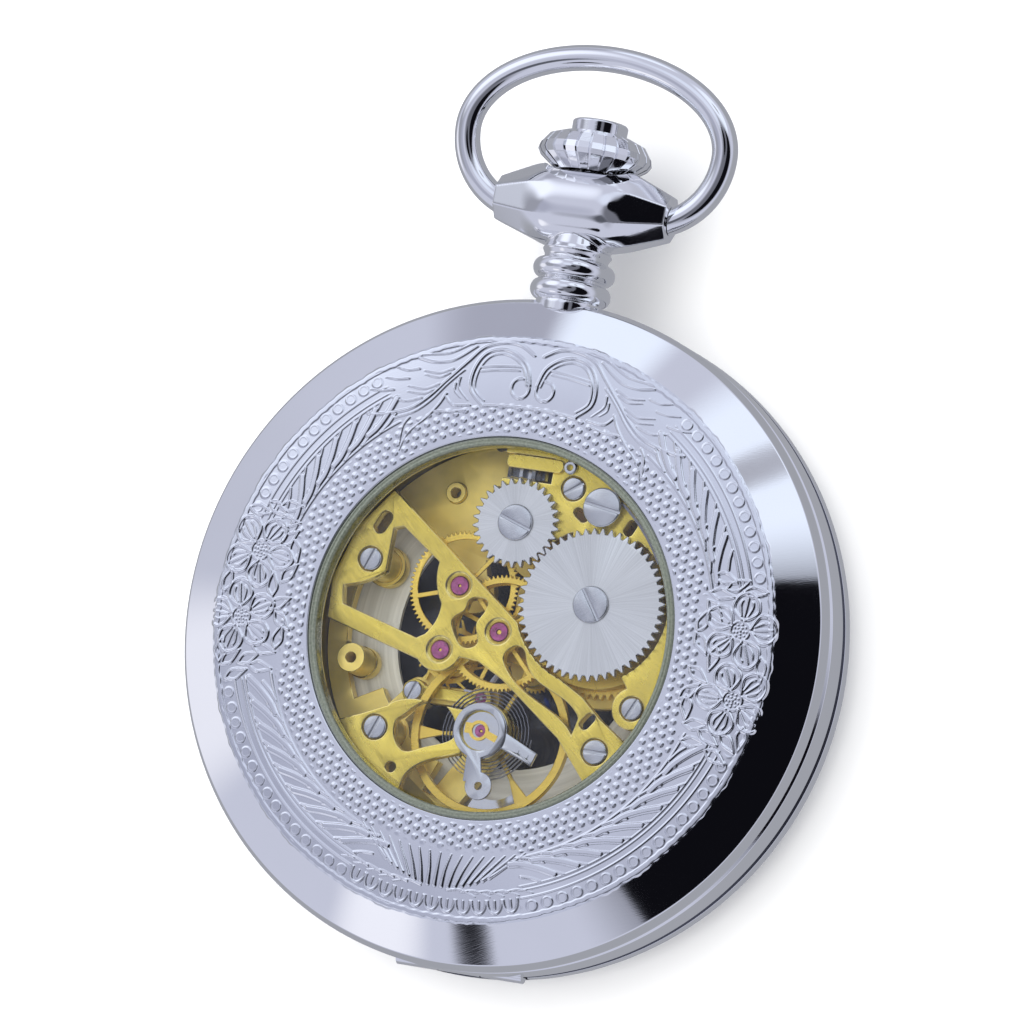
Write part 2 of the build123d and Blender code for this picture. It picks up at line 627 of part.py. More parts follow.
save(barrel_bridge, "barrel_bridge")

# Train bridge: the open frame that carries the third, fourth and escape wheel jewels.
TRAIN_TOP = 9.3
with BuildPart() as train_bridge:
    with BuildSketch(Plane.XY.offset(BRIDGE_Z[0])):
        with BuildLine():
            Line((-9.6, 9.0), (1.31, 0.83))
            ThreePointArc((1.31, 0.83), (2.85, -1.35), (5.1, -2.65))
            Polyline((5.1, -2.65), (7.05, -3.7), (8.53, -5.0), (10.85, -6.57))
            Line((10.85, -6.57), (8.26, -9.7))
            Polyline((8.26, -9.7), (5.76, -6.85), (0.94, -3.33), (-1.1, -2.3), (-2.5, -2.2))
            ThreePointArc((-2.5, -2.2), (-4.0, -3.4), (-5.6, -2.75))
            Polyline((-5.6, -2.75), (-12.9, -0.75), (-13.1, 2.2), (-11.9, 6.0), (-9.6, 9.0))
        make_face()
        # The large opening at the left
        with BuildLine():
            Polyline((-9.1, 6.2), (-8.4, 6.45), (-5.3, 4.3))
            ThreePointArc((-5.3, 4.3), (-5.2, 2.7), (-4.6, 1.4))
            ThreePointArc((-4.6, 1.4), (-4.75, 0.2), (-5.4, -0.9))
            Polyline((-5.4, -0.9), (-6.0, -1.25), (-11.9, 0.4), (-12.1, 1.7))
            ThreePointArc((-12.1, 1.7), (-10.3, 2.3), (-9.1, 3.1))
            Line((-9.1, 3.1), (-9.1, 6.2))
        make_face(mode=Mode.SUBTRACT)
        # Kidney hole between the three jewels
        with BuildLine():
            Spline(
                (-2.0, 2.15), (-1.15, 1.85), (-1.35, 1.1), (-1.75, 0.2), (-1.45, -1.1), (-2.1, -1.45),
                (-3.2, -0.6), (-3.45, 0.5), (-2.7, 1.2), periodic=True,
            )
        make_face(mode=Mode.SUBTRACT)
        # Long teardrop slot between the two bars of the foot
        with BuildLine():
            Spline((6.75, -6.45), (3.9, -4.5), (1.2, -2.6), (0.8, -1.6), (1.5, -0.85), (2.4, -1.65))
            Spline((2.4, -1.65), (4.1, -3.35), (6.4, -4.5), (7.0, -5.2))
            Line((7.0, -5.2), (6.75, -6.45))
        make_face(mode=Mode.SUBTRACT)
        for place, turn, size in (((7.75, -5.35), 55, (1.3, 0.7)), ((-10.0, 6.55), 65, (1.7, 0.9))):
            with Locations(Location(place, turn)):
                SlotOverall(*size, mode=Mode.SUBTRACT)
    extrude(amount=TRAIN_TOP - BRIDGE_Z[0])
    for place in (CENTRE, THIRD, ESCAPE):
        post(place, BRIDGE_Z[0], TRAIN_TOP, 0.64, Mode.SUBTRACT)
        with Locations((place[0], place[1], TRAIN_TOP - 0.3)):
            Cone(0.64, 0.95, 0.3, align=STANDING, mode=Mode.SUBTRACT)
    for place, head, _ in BRIDGE_SCREWS[2:4]:
        post(place, BRIDGE_Z[0], TRAIN_TOP, 0.42, Mode.SUBTRACT)
        post(place, TRAIN_TOP - 0.3, TRAIN_TOP, head + 0.07, Mode.SUBTRACT)
save(train_bridge, "train_bridge")

# Balance cock: a foot along the rim and two arms to the disc over the balance.
with BuildPart() as balance_cock:
    with BuildSketch(Plane.XY.offset(BRIDGE_Z[0])):
        with BuildLine():
            CenterArc((0, 0), BRIDGE_R, 216, 31)
            Polyline(polar(BRIDGE_R, 216), (-9.2, -7.2), (-7.2, -6.3))
            Spline((-7.2, -6.3), (-6.3, -5.75), (-1.5, -5.8), tangents=((0.6, 0.8), (1, 0)))
            Line((-1.5, -5.8), (-1.1, -8.9))
            Spline((-1.1, -8.9), (-3.6, -9.8), (-4.7, -10.6), polar(BRIDGE_R, 247))
        make_face()
        with Locations(BALANCE):
            Circle(2.05)
        with BuildLine():
            Spline(
                (-5.6, -6.55), (-2.0, -6.75), (-1.8, -7.6), (-4.0, -8.85), (-5.4, -9.3), (-6.2, -8.6),
                (-6.3, -7.2), periodic=True,
            )
        make_face(mode=Mode.SUBTRACT)
    extrude(amount=BRIDGE_Z[1] - BRIDGE_Z[0])
    post(BALANCE, BRIDGE_Z[0], BRIDGE_Z[1], 1.0, Mode.SUBTRACT)
    post((-6.15, -10.59), BRIDGE_Z[0], BRIDGE_Z[1], 0.37, Mode.SUBTRACT)
    post(BRIDGE_SCREWS[4][0], BRIDGE_Z[0], BRIDGE_Z[1], 0.42, Mode.SUBTRACT)
    post(BRIDGE_SCREWS[4][0], BRIDGE_Z[1] - 0.3, BRIDGE_Z[1], 0.92, Mode.SUBTRACT)
save(balance_cock, "balance_cock")

# Pallet cock: under the balance, from its screw to the fork's jewel
with BuildPart() as pallet_cock:
    with BuildSketch(Plane.XY.offset(6.5)):
        with Locations(PALLET_SCREW):
            Circle(0.9)
        with Locations(PALLET):
            Circle(0.8)
        with Locations(((PALLET[0] + PALLET_SCREW[0]) / 2, -4.72)):
            Rectangle(5.05, 0.85)
    extrude(amount=0.32)
    post(PALLET_SCREW, 6.5, 6.9, 0.42, Mode.SUBTRACT)
    post(PALLET, 6.5, 6.9, 0.42, Mode.SUBTRACT)
save(pallet_cock, "pallet_cock")

with BuildPart() as bridge_screws:
    for index, (place, head, angle) in enumerate(BRIDGE_SCREWS):
        top = TRAIN_TOP if index in (2, 3) else BRIDGE_Z[1]
        slotted_screw(place, top - 0.3, top + 0.08, head, PLATE_Z[0] + 0.1, 0.4, angle)
    slotted_screw(PALLET_SCREW, 6.82, 7.2, 0.72, PLATE_Z[0] + 0.1, 0.4, 70)
save(bridge_screws, "bridge_screws")

# Pivot jewels: three in the train bridge, the pallet cock's, the balance's and the lower ones.
TRAIN_JEWEL = (8.7, 9.12, 0.63)   # bottom, top and radius
LOWER_JEWEL = (5.2, 5.6, 0.59)
PALLET_JEWEL = (6.5, 6.8, 0.41)
BALANCE_JEWEL = (8.95, BRIDGE_Z[1] + 0.12, 0.45)
with BuildPart() as pivot_jewels:
    for place, (low, high, radius) in (
        (CENTRE, TRAIN_JEWEL), (THIRD, TRAIN_JEWEL), (ESCAPE, TRAIN_JEWEL), (PALLET, PALLET_JEWEL),
        (THIRD, LOWER_JEWEL), (ESCAPE, LOWER_JEWEL), (PALLET, LOWER_JEWEL), (BALANCE, LOWER_JEWEL),
        (BALANCE, BALANCE_JEWEL),
    ):
        post(place, low, high, radius)
        post(place, low, high, 0.2 if place == CENTRE else 0.13, Mode.SUBTRACT)
save(pivot_jewels, "pivot_jewels")

# ================================================================ winding work
with BuildPart() as crown_wheel:
    toothed_disc(CROWN_WHEEL, *WHEEL_Z, CROWN_TEETH,
                 pair_module(CROWN_WHEEL, BARREL, CROWN_TEETH, RATCHET_TEETH), bearing(CROWN_WHEEL, BARREL))
    post(CROWN_WHEEL, *WHEEL_Z, 0.72, Mode.SUBTRACT)
save(crown_wheel, "crown_wheel")

with BuildPart() as crown_wheel_screw:
    slotted_screw(CROWN_WHEEL, WHEEL_Z[1] + 0.02, 9.98, 1.3, BRIDGE_Z[0], 0.68, -19)
save(crown_wheel_screw, "crown_wheel_screw")

with BuildPart() as ratchet_wheel:
    toothed_disc(BARREL, *WHEEL_Z, RATCHET_TEETH,
                 pair_module(CROWN_WHEEL, BARREL, CROWN_TEETH, RATCHET_TEETH),
                 bearing(BARREL, CROWN_WHEEL) + 180 / RATCHET_TEETH)
    post(BARREL, *WHEEL_Z, 0.46, Mode.SUBTRACT)
save(ratchet_wheel, "ratchet_wheel")

with BuildPart() as ratchet_screw:
    slotted_screw(BARREL, WHEEL_Z[1], 9.96, 1.33, WHEEL_Z[0] - 0.7, 0.44, -55)
save(ratchet_screw, "ratchet_screw")

# Barrel arbor: the hub that the mainspring hooks on, through the barrel to the ratchet wheel
with BuildPart() as barrel_arbor:
    post(BARREL, PLATE_Z[0] + 0.1, WHEEL_Z[0], 0.8)
    post(BARREL, 6.4, 7.3, 1.2)
    post(BARREL, WHEEL_Z[0] - 0.8, WHEEL_Z[0], 0.46, Mode.SUBTRACT)
save(barrel_arbor, "barrel_arbor")

BARREL_MODULE = pair_module(BARREL, CENTRE, BARREL_TEETH, CENTRE_PINION)
with BuildPart() as barrel:
    toothed_disc(BARREL, 6.15, 6.6, BARREL_TEETH, BARREL_MODULE, bearing(BARREL, CENTRE))
    post(BARREL, 6.6, 7.6, 5.7)
    post(BARREL, 6.35, 7.4, 5.45, Mode.SUBTRACT)
    post(BARREL, 6.15, 7.6, 0.8 + FIT, Mode.SUBTRACT)
save(barrel, "barrel")

with BuildPart() as mainspring:
    with BuildSketch(Plane((BARREL[0], BARREL[1], 6.42))):
        with BuildLine():
            Polyline(*spiral_points(1.4, 5.3, 9, 0.12), close=True)
        make_face()
    extrude(amount=0.88)
save(mainspring, "mainspring")

# Click and its screw: the pawl stands just clear of the ratchet teeth
with BuildPart() as click:
    with BuildSketch(Plane.XY.offset(BRIDGE_Z[1] + 0.03)):
        with Locations(CLICK):
            Circle(1.15)
        with BuildLine():
            Polyline((5.2, 9.4), (5.9, 8.28), (6.3, 8.3), (7.2, 9.3), close=True)
        make_face()
    extrude(amount=0.4)
    post(CLICK, BRIDGE_Z[1], 9.8, 0.42, Mode.SUBTRACT)
save(click, "click")

with BuildPart() as click_screw:
    slotted_screw(CLICK, 9.71, 10.0, 1.4, BRIDGE_Z[0], 0.39, -9)
save(click_screw, "click_screw")

with BuildPart() as click_spring:
    with BuildSketch(Plane.XY.offset(BRIDGE_Z[1])):
        with BuildLine():
            CenterArc((0, 0), 12.75, 30, 24)
            CenterArc((0, 0), 12.55, 30, 24)
            Line(polar(12.55, 30), polar(12.75, 30))
            Line(polar(12.55, 54), polar(12.75, 54))
        make_face()
    extrude(amount=0.25)
save(click_spring, "click_spring")

# ================================================================ going train
def going_wheel(place, z0, teeth, module, phase, arms, rim=0.4, hub=0.85, thick=0.15, arm_width=0.32):
    toothed_disc(place, z0, z0 + thick, teeth, module, phase)
    inner_rim = teeth * module / 2 - 1.15 * module - rim
    lighten(place, z0, z0 + thick, hub, inner_rim, arms, arm_width, phase + 20)


CENTRE_MODULE = pair_module(CENTRE, THIRD, CENTRE_TEETH, THIRD_PINION)
THIRD_MODULE = pair_module(THIRD, CENTRE, THIRD_TEETH, FOURTH_PINION)
FOURTH_MODULE = pair_module(CENTRE, ESCAPE, FOURTH_TEETH, ESCAPE_PINION)

# Centre wheel on a hollow arbor that turns once an hour
with BuildPart() as centre_wheel:
    going_wheel(CENTRE, 7.72, CENTRE_TEETH, CENTRE_MODULE, bearing(CENTRE, THIRD), 4)
    toothed_disc(CENTRE, 6.1, 6.75, CENTRE_PINION, BARREL_MODULE, bearing(CENTRE, BARREL) + 15)
    post(CENTRE, 3.0, 7.9, 0.42)
    post(CENTRE, 3.0, 7.9, 0.24, Mode.SUBTRACT)
save(centre_wheel, "centre_wheel")

with BuildPart() as third_wheel:
    going_wheel(THIRD, 8.02, THIRD_TEETH, THIRD_MODULE, bearing(THIRD, CENTRE), 5)
    toothed_disc(THIRD, 7.66, 7.95, THIRD_PINION, CENTRE_MODULE, bearing(THIRD, CENTRE) + 18)
    post(THIRD, 5.6, 8.7, 0.25)
    post(THIRD, 5.3, 9.0, 0.11)
save(third_wheel, "third_wheel")

# Fourth wheel: its long arbor runs through the centre wheel and carries the seconds hand
with BuildPart() as fourth_wheel:
    going_wheel(CENTRE, 8.28, FOURTH_TEETH, FOURTH_MODULE, bearing(CENTRE, ESCAPE), 4)
    toothed_disc(CENTRE, 7.96, 8.24, FOURTH_PINION, THIRD_MODULE, bearing(CENTRE, THIRD) + 18)
    post(CENTRE, 2.6, 9.0, 0.18)
save(fourth_wheel, "fourth_wheel")

# Escape wheel: fifteen raked teeth
with BuildPart() as escape_wheel:
    with BuildSketch(Plane((ESCAPE[0], ESCAPE[1], 6.2))):
        with BuildLine():
            rake = []
            for tooth in range(15):
                angle = 24 * tooth
                rake += [
                    polar(2.0, angle), polar(2.58, angle + 11), polar(2.6, angle + 14.5), polar(2.05, angle + 8),
                ]
            Polyline(*rake, close=True)
        make_face()
        Circle(1.65, mode=Mode.SUBTRACT)
        Circle(0.6)
        with PolarLocations(1.1, 4):
            Rectangle(1.4, 0.25)
    extrude(amount=0.16)
    toothed_disc(ESCAPE, 8.2, 8.5, ESCAPE_PINION, FOURTH_MODULE, bearing(ESCAPE, CENTRE) + 22.5)
    post(ESCAPE, 5.6, 8.7, 0.22)
    post(ESCAPE, 5.3, 9.0, 0.11)
save(escape_wheel, "escape_wheel")

# Pallet fork: drawn with its local X from the pivot towards the balance
fork_reach = distance(PALLET, BALANCE)
fork_x = ((BALANCE[0] - PALLET[0]) / fork_reach, (BALANCE[1] - PALLET[1]) / fork_reach)
FORK_PLANE = Plane(origin=(PALLET[0], PALLET[1], 6.2), x_dir=(fork_x[0], fork_x[1], 0), z_dir=(0, 0, 1))
with BuildPart() as pallet_fork:
    with BuildSketch(FORK_PLANE):
        with BuildLine():
            Polyline(
                (-0.3, -0.15), (1.9, -0.12), (2.3, -0.42), (2.3, -0.16), (1.95, -0.13), (1.95, 0.13),
                (2.3, 0.16),
                (2.3, 0.42), (1.9, 0.12), (-0.3, 0.15), close=True,
            )
        make_face()
        Circle(0.45)
        with BuildLine():
            Polyline((-0.1, 0.3), (-1.35, 2.0), (-1.65, 1.9), (-0.5, 0.0), (-1.2, -1.05), (-0.95, -1.3),
                     (0.1, -0.3),
                     close=True)
        make_face()
    extrude(amount=0.18)
    post(PALLET, 5.6, 6.5, 0.2)
    post(PALLET, 5.3, 6.75, 0.11)
save(pallet_fork, "pallet_fork")

# Balance wheel with its staff, roller and impulse pin
with BuildPart() as balance_wheel:
    with BuildSketch(Plane((BALANCE[0], BALANCE[1], BALANCE_Z[0]))):
        Circle(5.88)
        Circle(5.3, mode=Mode.SUBTRACT)
    extrude(amount=BALANCE_Z[1] - BALANCE_Z[0])
    with BuildSketch(Plane((BALANCE[0], BALANCE[1], 7.12))):
        Circle(0.75)
        for angle in (-54, 66, 186):
            with BuildLine():
                Polyline(polar(0.6, angle - 20), polar(3.6, angle - 2.2), polar(5.35, angle - 5.5),
                         polar(5.35, angle + 5.5), polar(3.6, angle + 2.2), polar(0.6, angle + 20), close=True)
            make_face()
    extrude(amount=0.26)
    post(BALANCE, 5.65, 8.9, 0.2)
    post(BALANCE, 5.3, 9.3, 0.11)
    post(BALANCE, 6.48, 6.62, 0.95)
    impulse = polar(0.72, bearing(BALANCE, PALLET), BALANCE)
    post(impulse, 6.2, 6.5, 0.085)
save(balance_wheel, "balance_wheel")

with BuildPart() as hairspring:
    with BuildSketch(Plane((BALANCE[0], BALANCE[1], SPRING_Z[0]))):
        with BuildLine():
            Polyline(*spiral_points(0.62, 3.4, 11, 0.05), close=True)
        make_face()
        with BuildSketch(mode=Mode.ADD):
            Circle(0.62)
        Circle(0.24, mode=Mode.SUBTRACT)
    extrude(amount=SPRING_Z[1] - SPRING_Z[0])
save(hairspring, "hairspring")

# Shock setting: steel block and jewel in the cock, held by a gold lyre spring
with BuildPart() as shock_setting:
    post(BALANCE, BRIDGE_Z[0] + 0.1, BRIDGE_Z[1] + 0.12, 0.98)
    post(BALANCE, BRIDGE_Z[1], BRIDGE_Z[1] + 0.12, 1.36)
    post(BALANCE, BRIDGE_Z[0] + 0.1, BRIDGE_Z[1] + 0.12, 0.46, Mode.SUBTRACT)
save(shock_setting, "shock_setting")

LYRE_Z = BRIDGE_Z[1] + 0.13
with BuildPart() as shock_spring:
    with BuildSketch(Plane((BALANCE[0], BALANCE[1], LYRE_Z))):
        with Locations((-0.15, 0.0)):
            Circle(0.72)
            Circle(0.5, mode=Mode.SUBTRACT)
        with Locations((-0.95, 0.1)):
            Rectangle(0.5, 0.75)
        with Locations(Location((0.9, -0.32), -20)):
            Rectangle(1.1, 0.5)
    extrude(amount=0.09)
save(shock_spring, "shock_spring")

# Regulator: a ring round the shock setting, its pointer, and the arm with the curb pins
REGULATOR_Z = (BRIDGE_Z[1] + 0.02, BRIDGE_Z[1] + 0.3)
with BuildPart() as regulator:
    with BuildSketch(Plane((BALANCE[0], BALANCE[1], REGULATOR_Z[0]))):
        Circle(2.0)
        with BuildLine():
            Polyline((1.0, -0.75), (4.15, -1.95), (4.45, -1.0), (1.5, 0.3), close=True)
        make_face()
        Circle(1.44, mode=Mode.SUBTRACT)
    extrude(amount=REGULATOR_Z[1] - REGULATOR_Z[0])
    for pin in ((3.07, -8.15), (3.81, -8.41)):
        post(pin, SPRING_Z[0], REGULATOR_Z[1] + 0.06, 0.16)
save(regulator, "regulator")

# Stud carrier: the broad arm under the regulator ring, with the stud hole at its end
with BuildPart() as stud_carrier:
    with BuildSketch(Plane((BALANCE[0], BALANCE[1], REGULATOR_Z[1] + 0.02))):
        Circle(1.95)
        with BuildLine():
            Polyline((-0.6, -1.7), (-0.55, -3.7), (0.85, -3.7), (0.45, -1.7), close=True)
        make_face()
        with Locations((0.65, -3.89)):
            Circle(1.0)
        Circle(1.44, mode=Mode.SUBTRACT)
        with Locations((0.65, -3.89)):
            Circle(0.3, mode=Mode.SUBTRACT)
    extrude(amount=0.2)
save(stud_carrier, "stud_carrier")

# Index plate: a steel crescent on the plate rim below the stud carrier
with BuildPart() as index_plate:
    with BuildSketch(Plane.XY.offset(PLATE_Z[1])):
        with BuildLine():
            CenterArc((0, 0), 13.1, -96, 21)
            Line(polar(13.1, -75), polar(11.1, -79))
            ThreePointArc(polar(11.1, -79), polar(11.6, -86), polar(11.3, -93))
            Line(polar(11.3, -93), polar(13.1, -96))
        make_face()
    extrude(amount=0.2)
save(index_plate, "index_plate")

# ================================================================ keyless work
KEYLESS_Z = (7.62, 7.8)

# Setting lever: over the stem, with the pin that the pulled crown moves
with BuildPart() as setting_lever:
    with BuildSketch(Plane.XY.offset(KEYLESS_Z[0])):
        with Locations(LEVER_PIVOT):
            Circle(0.5)
        with BuildLine():
            Polyline((2.35, 12.8), (0.5, 15.2), (0.5, 15.7), (0.95, 15.7), (3.1, 13.3), close=True)
        make_face()
    extrude(amount=KEYLESS_Z[1] - KEYLESS_Z[0])
    post((0.68, 15.4), 6.9, KEYLESS_Z[0], 0.15)
    post(LEVER_PIVOT, KEYLESS_Z[0], KEYLESS_Z[1], 0.22, Mode.SUBTRACT)
save(setting_lever, "setting_lever")

with BuildPart() as setting_lever_screw:
    slotted_screw(LEVER_PIVOT, KEYLESS_Z[1] + 0.02, 8.15, 0.5, PLATE_Z[0] + 0.3, 0.2, 30)
save(setting_lever_screw, "setting_lever_screw")

# Yoke: behind the sliding pinion, on its own pivot
with BuildPart() as yoke:
    with BuildSketch(Plane.XY.offset(KEYLESS_Z[0])):
        with Locations(YOKE_PIVOT):
            Circle(0.45)
        with BuildLine():
            Polyline((-3.15, 13.3), (-2.5, 14.75), (0.4, 14.75), (0.4, 14.45), (-2.2, 14.45), (-2.35, 13.3),
                     close=True)
        make_face()
    extrude(amount=KEYLESS_Z[1] - KEYLESS_Z[0])
    post(YOKE_PIVOT, PLATE_Z[0] + 0.3, KEYLESS_Z[0], 0.2)
save(yoke, "yoke")

# ================================================================ motion work, dial and hands
MOTION_Z = (4.56, 4.74, 4.8, 4.95)
CANNON_MODULE = pair_module(CENTRE, MINUTE, CANNON_TEETH, MINUTE_TEETH)
HOUR_MODULE = pair_module(CENTRE, MINUTE, HOUR_TEETH, MINUTE_PINION)

with BuildPart() as cannon_pinion:
    toothed_disc(
        CENTRE, MOTION_Z[2], MOTION_Z[3], CANNON_TEETH, CANNON_MODULE, bearing(CENTRE, MINUTE), root=0.9
    )
    post(CENTRE, 3.05, MOTION_Z[3], 0.5)
    post(CENTRE, 3.05, MOTION_Z[3], 0.43, Mode.SUBTRACT)
save(cannon_pinion, "cannon_pinion")

with BuildPart() as minute_wheel:
    toothed_disc(MINUTE, MOTION_Z[2], MOTION_Z[3], MINUTE_TEETH, CANNON_MODULE,
                 bearing(MINUTE, CENTRE) + 180 / MINUTE_TEETH)
    toothed_disc(
        MINUTE, MOTION_Z[0], MOTION_Z[2], MINUTE_PINION, HOUR_MODULE, bearing(MINUTE, CENTRE), root=0.9
    )
    post(MINUTE, MOTION_Z[3], PLATE_Z[1] - 0.1, 0.24)
save(minute_wheel, "minute_wheel")

with BuildPart() as hour_wheel:
    toothed_disc(CENTRE, MOTION_Z[0], MOTION_Z[1], HOUR_TEETH, HOUR_MODULE,
                 bearing(CENTRE, MINUTE) + 180 / HOUR_TEETH)
    post(CENTRE, 3.5, MOTION_Z[1], 0.9)
    post(CENTRE, 3.5, MOTION_Z[1], 0.56, Mode.SUBTRACT)
save(hour_wheel, "hour_wheel")

# Dial: a ring, open in the middle, with twelve raised batons on its face
with BuildPart() as dial:
    with BuildSketch(Plane.XY.offset(4.1)):
        Circle(19.5)
        Circle(9.2, mode=Mode.SUBTRACT)
    extrude(amount=0.38)
    with BuildSketch(Plane.XY.offset(4.0)):
        with PolarLocations(16.2, 12):
            Rectangle(2.6, 0.55)
        with PolarLocations(18.4, 60):
            Circle(0.14)
    extrude(amount=0.1)
save(dial, "dial")


def hand(z0, z1, length, width, hub, bore, clock_angle):
    """Leaf-shaped hand with a counterweight tail, set at a clockwise angle on the dial side."""
    along = (-sin(radians(clock_angle)), cos(radians(clock_angle)), 0)
    plane = Plane(origin=(0, 0, z0), x_dir=along, z_dir=(0, 0, 1))
    with BuildSketch(plane) as blade:
        Circle(hub)
        with BuildLine():
            Polyline((-0.22 * length, -width / 3), (0.62 * length, -width / 2), (length, 0),
                     (0.62 * length, width / 2), (-0.22 * length, width / 3), close=True)
        make_face()
        Circle(bore, mode=Mode.SUBTRACT)
    extrude(blade.sketch, amount=z1 - z0)


with BuildPart() as hour_hand:
    hand(3.5, 3.65, 9.6, 1.3, 1.35, 0.92, 304)
save(hour_hand, "hour_hand")

with BuildPart() as minute_hand:
    hand(3.05, 3.2, 14.6, 1.0, 0.95, 0.51, 48)
save(minute_hand, "minute_hand")

with BuildPart() as second_hand:
    hand(2.65, 2.75, 16.5, 0.32, 0.5, 0.17, 210)
save(second_hand, "second_hand")
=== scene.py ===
# Hunter pocket watch seen from its engraved display back, on a pale floor.
# Lengths in the shape code are millimetres in the part's own frame, and MM turns them into metres.
import json
import math

import bmesh
import bpy
import numpy as np
from mathutils import Matrix, Vector

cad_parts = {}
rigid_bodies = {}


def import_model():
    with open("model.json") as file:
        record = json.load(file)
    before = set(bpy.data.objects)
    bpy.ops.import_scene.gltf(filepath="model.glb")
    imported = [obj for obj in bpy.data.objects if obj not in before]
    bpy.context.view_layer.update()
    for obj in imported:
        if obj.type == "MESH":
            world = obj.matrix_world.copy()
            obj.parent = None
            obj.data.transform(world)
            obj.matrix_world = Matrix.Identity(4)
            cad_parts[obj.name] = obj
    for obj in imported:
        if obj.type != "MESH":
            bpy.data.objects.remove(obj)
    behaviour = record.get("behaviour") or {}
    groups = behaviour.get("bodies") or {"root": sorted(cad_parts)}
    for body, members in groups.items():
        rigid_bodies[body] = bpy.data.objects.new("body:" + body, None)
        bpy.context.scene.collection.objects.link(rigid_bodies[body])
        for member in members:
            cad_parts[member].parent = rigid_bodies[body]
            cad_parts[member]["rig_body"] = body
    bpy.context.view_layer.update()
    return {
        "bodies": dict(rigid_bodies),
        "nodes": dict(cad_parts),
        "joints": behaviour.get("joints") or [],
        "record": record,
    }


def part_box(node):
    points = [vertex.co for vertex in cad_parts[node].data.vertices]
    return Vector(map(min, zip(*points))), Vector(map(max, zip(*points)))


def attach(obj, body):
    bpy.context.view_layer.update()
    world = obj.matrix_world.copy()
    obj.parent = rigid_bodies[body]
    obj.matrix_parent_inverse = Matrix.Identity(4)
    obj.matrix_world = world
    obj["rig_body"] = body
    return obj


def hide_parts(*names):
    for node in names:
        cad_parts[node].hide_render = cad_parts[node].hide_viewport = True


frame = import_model()

MM = 0.001
DEG = math.pi / 180
NECK_Z = 7.1              # height of the stem axis
SEAM_R = 23.62            # bottom of the grooves beside the seams
nodes = frame["nodes"]


def node_box(name):
    """Lowest and highest corner of a CAD node, in millimetres."""
    low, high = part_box(name)
    return np.array(low) / MM, np.array(high) / MM


def centre_of(name):
    low, high = node_box(name)
    return (low + high) / 2


def sin(degrees):
    return math.sin(degrees * DEG)


def cos(degrees):
    return math.cos(degrees * DEG)


def full_turn(count):
    """Equal steps round a circle, in radians."""
    return np.arange(count) * 2 * math.pi / count


def as_points(x, y, z):
    return np.stack([x, y, z], axis=-1).reshape(-1, 3)


def link_object(name, data):
    made = bpy.data.objects.new(name, data)
    bpy.context.scene.collection.objects.link(made)
    return made


# Sizes taken from the frame
CASE_R, _, TOP_Z = node_box("back_cover")[1]
WINDOW_R = node_box("crystal_gasket")[1][0]


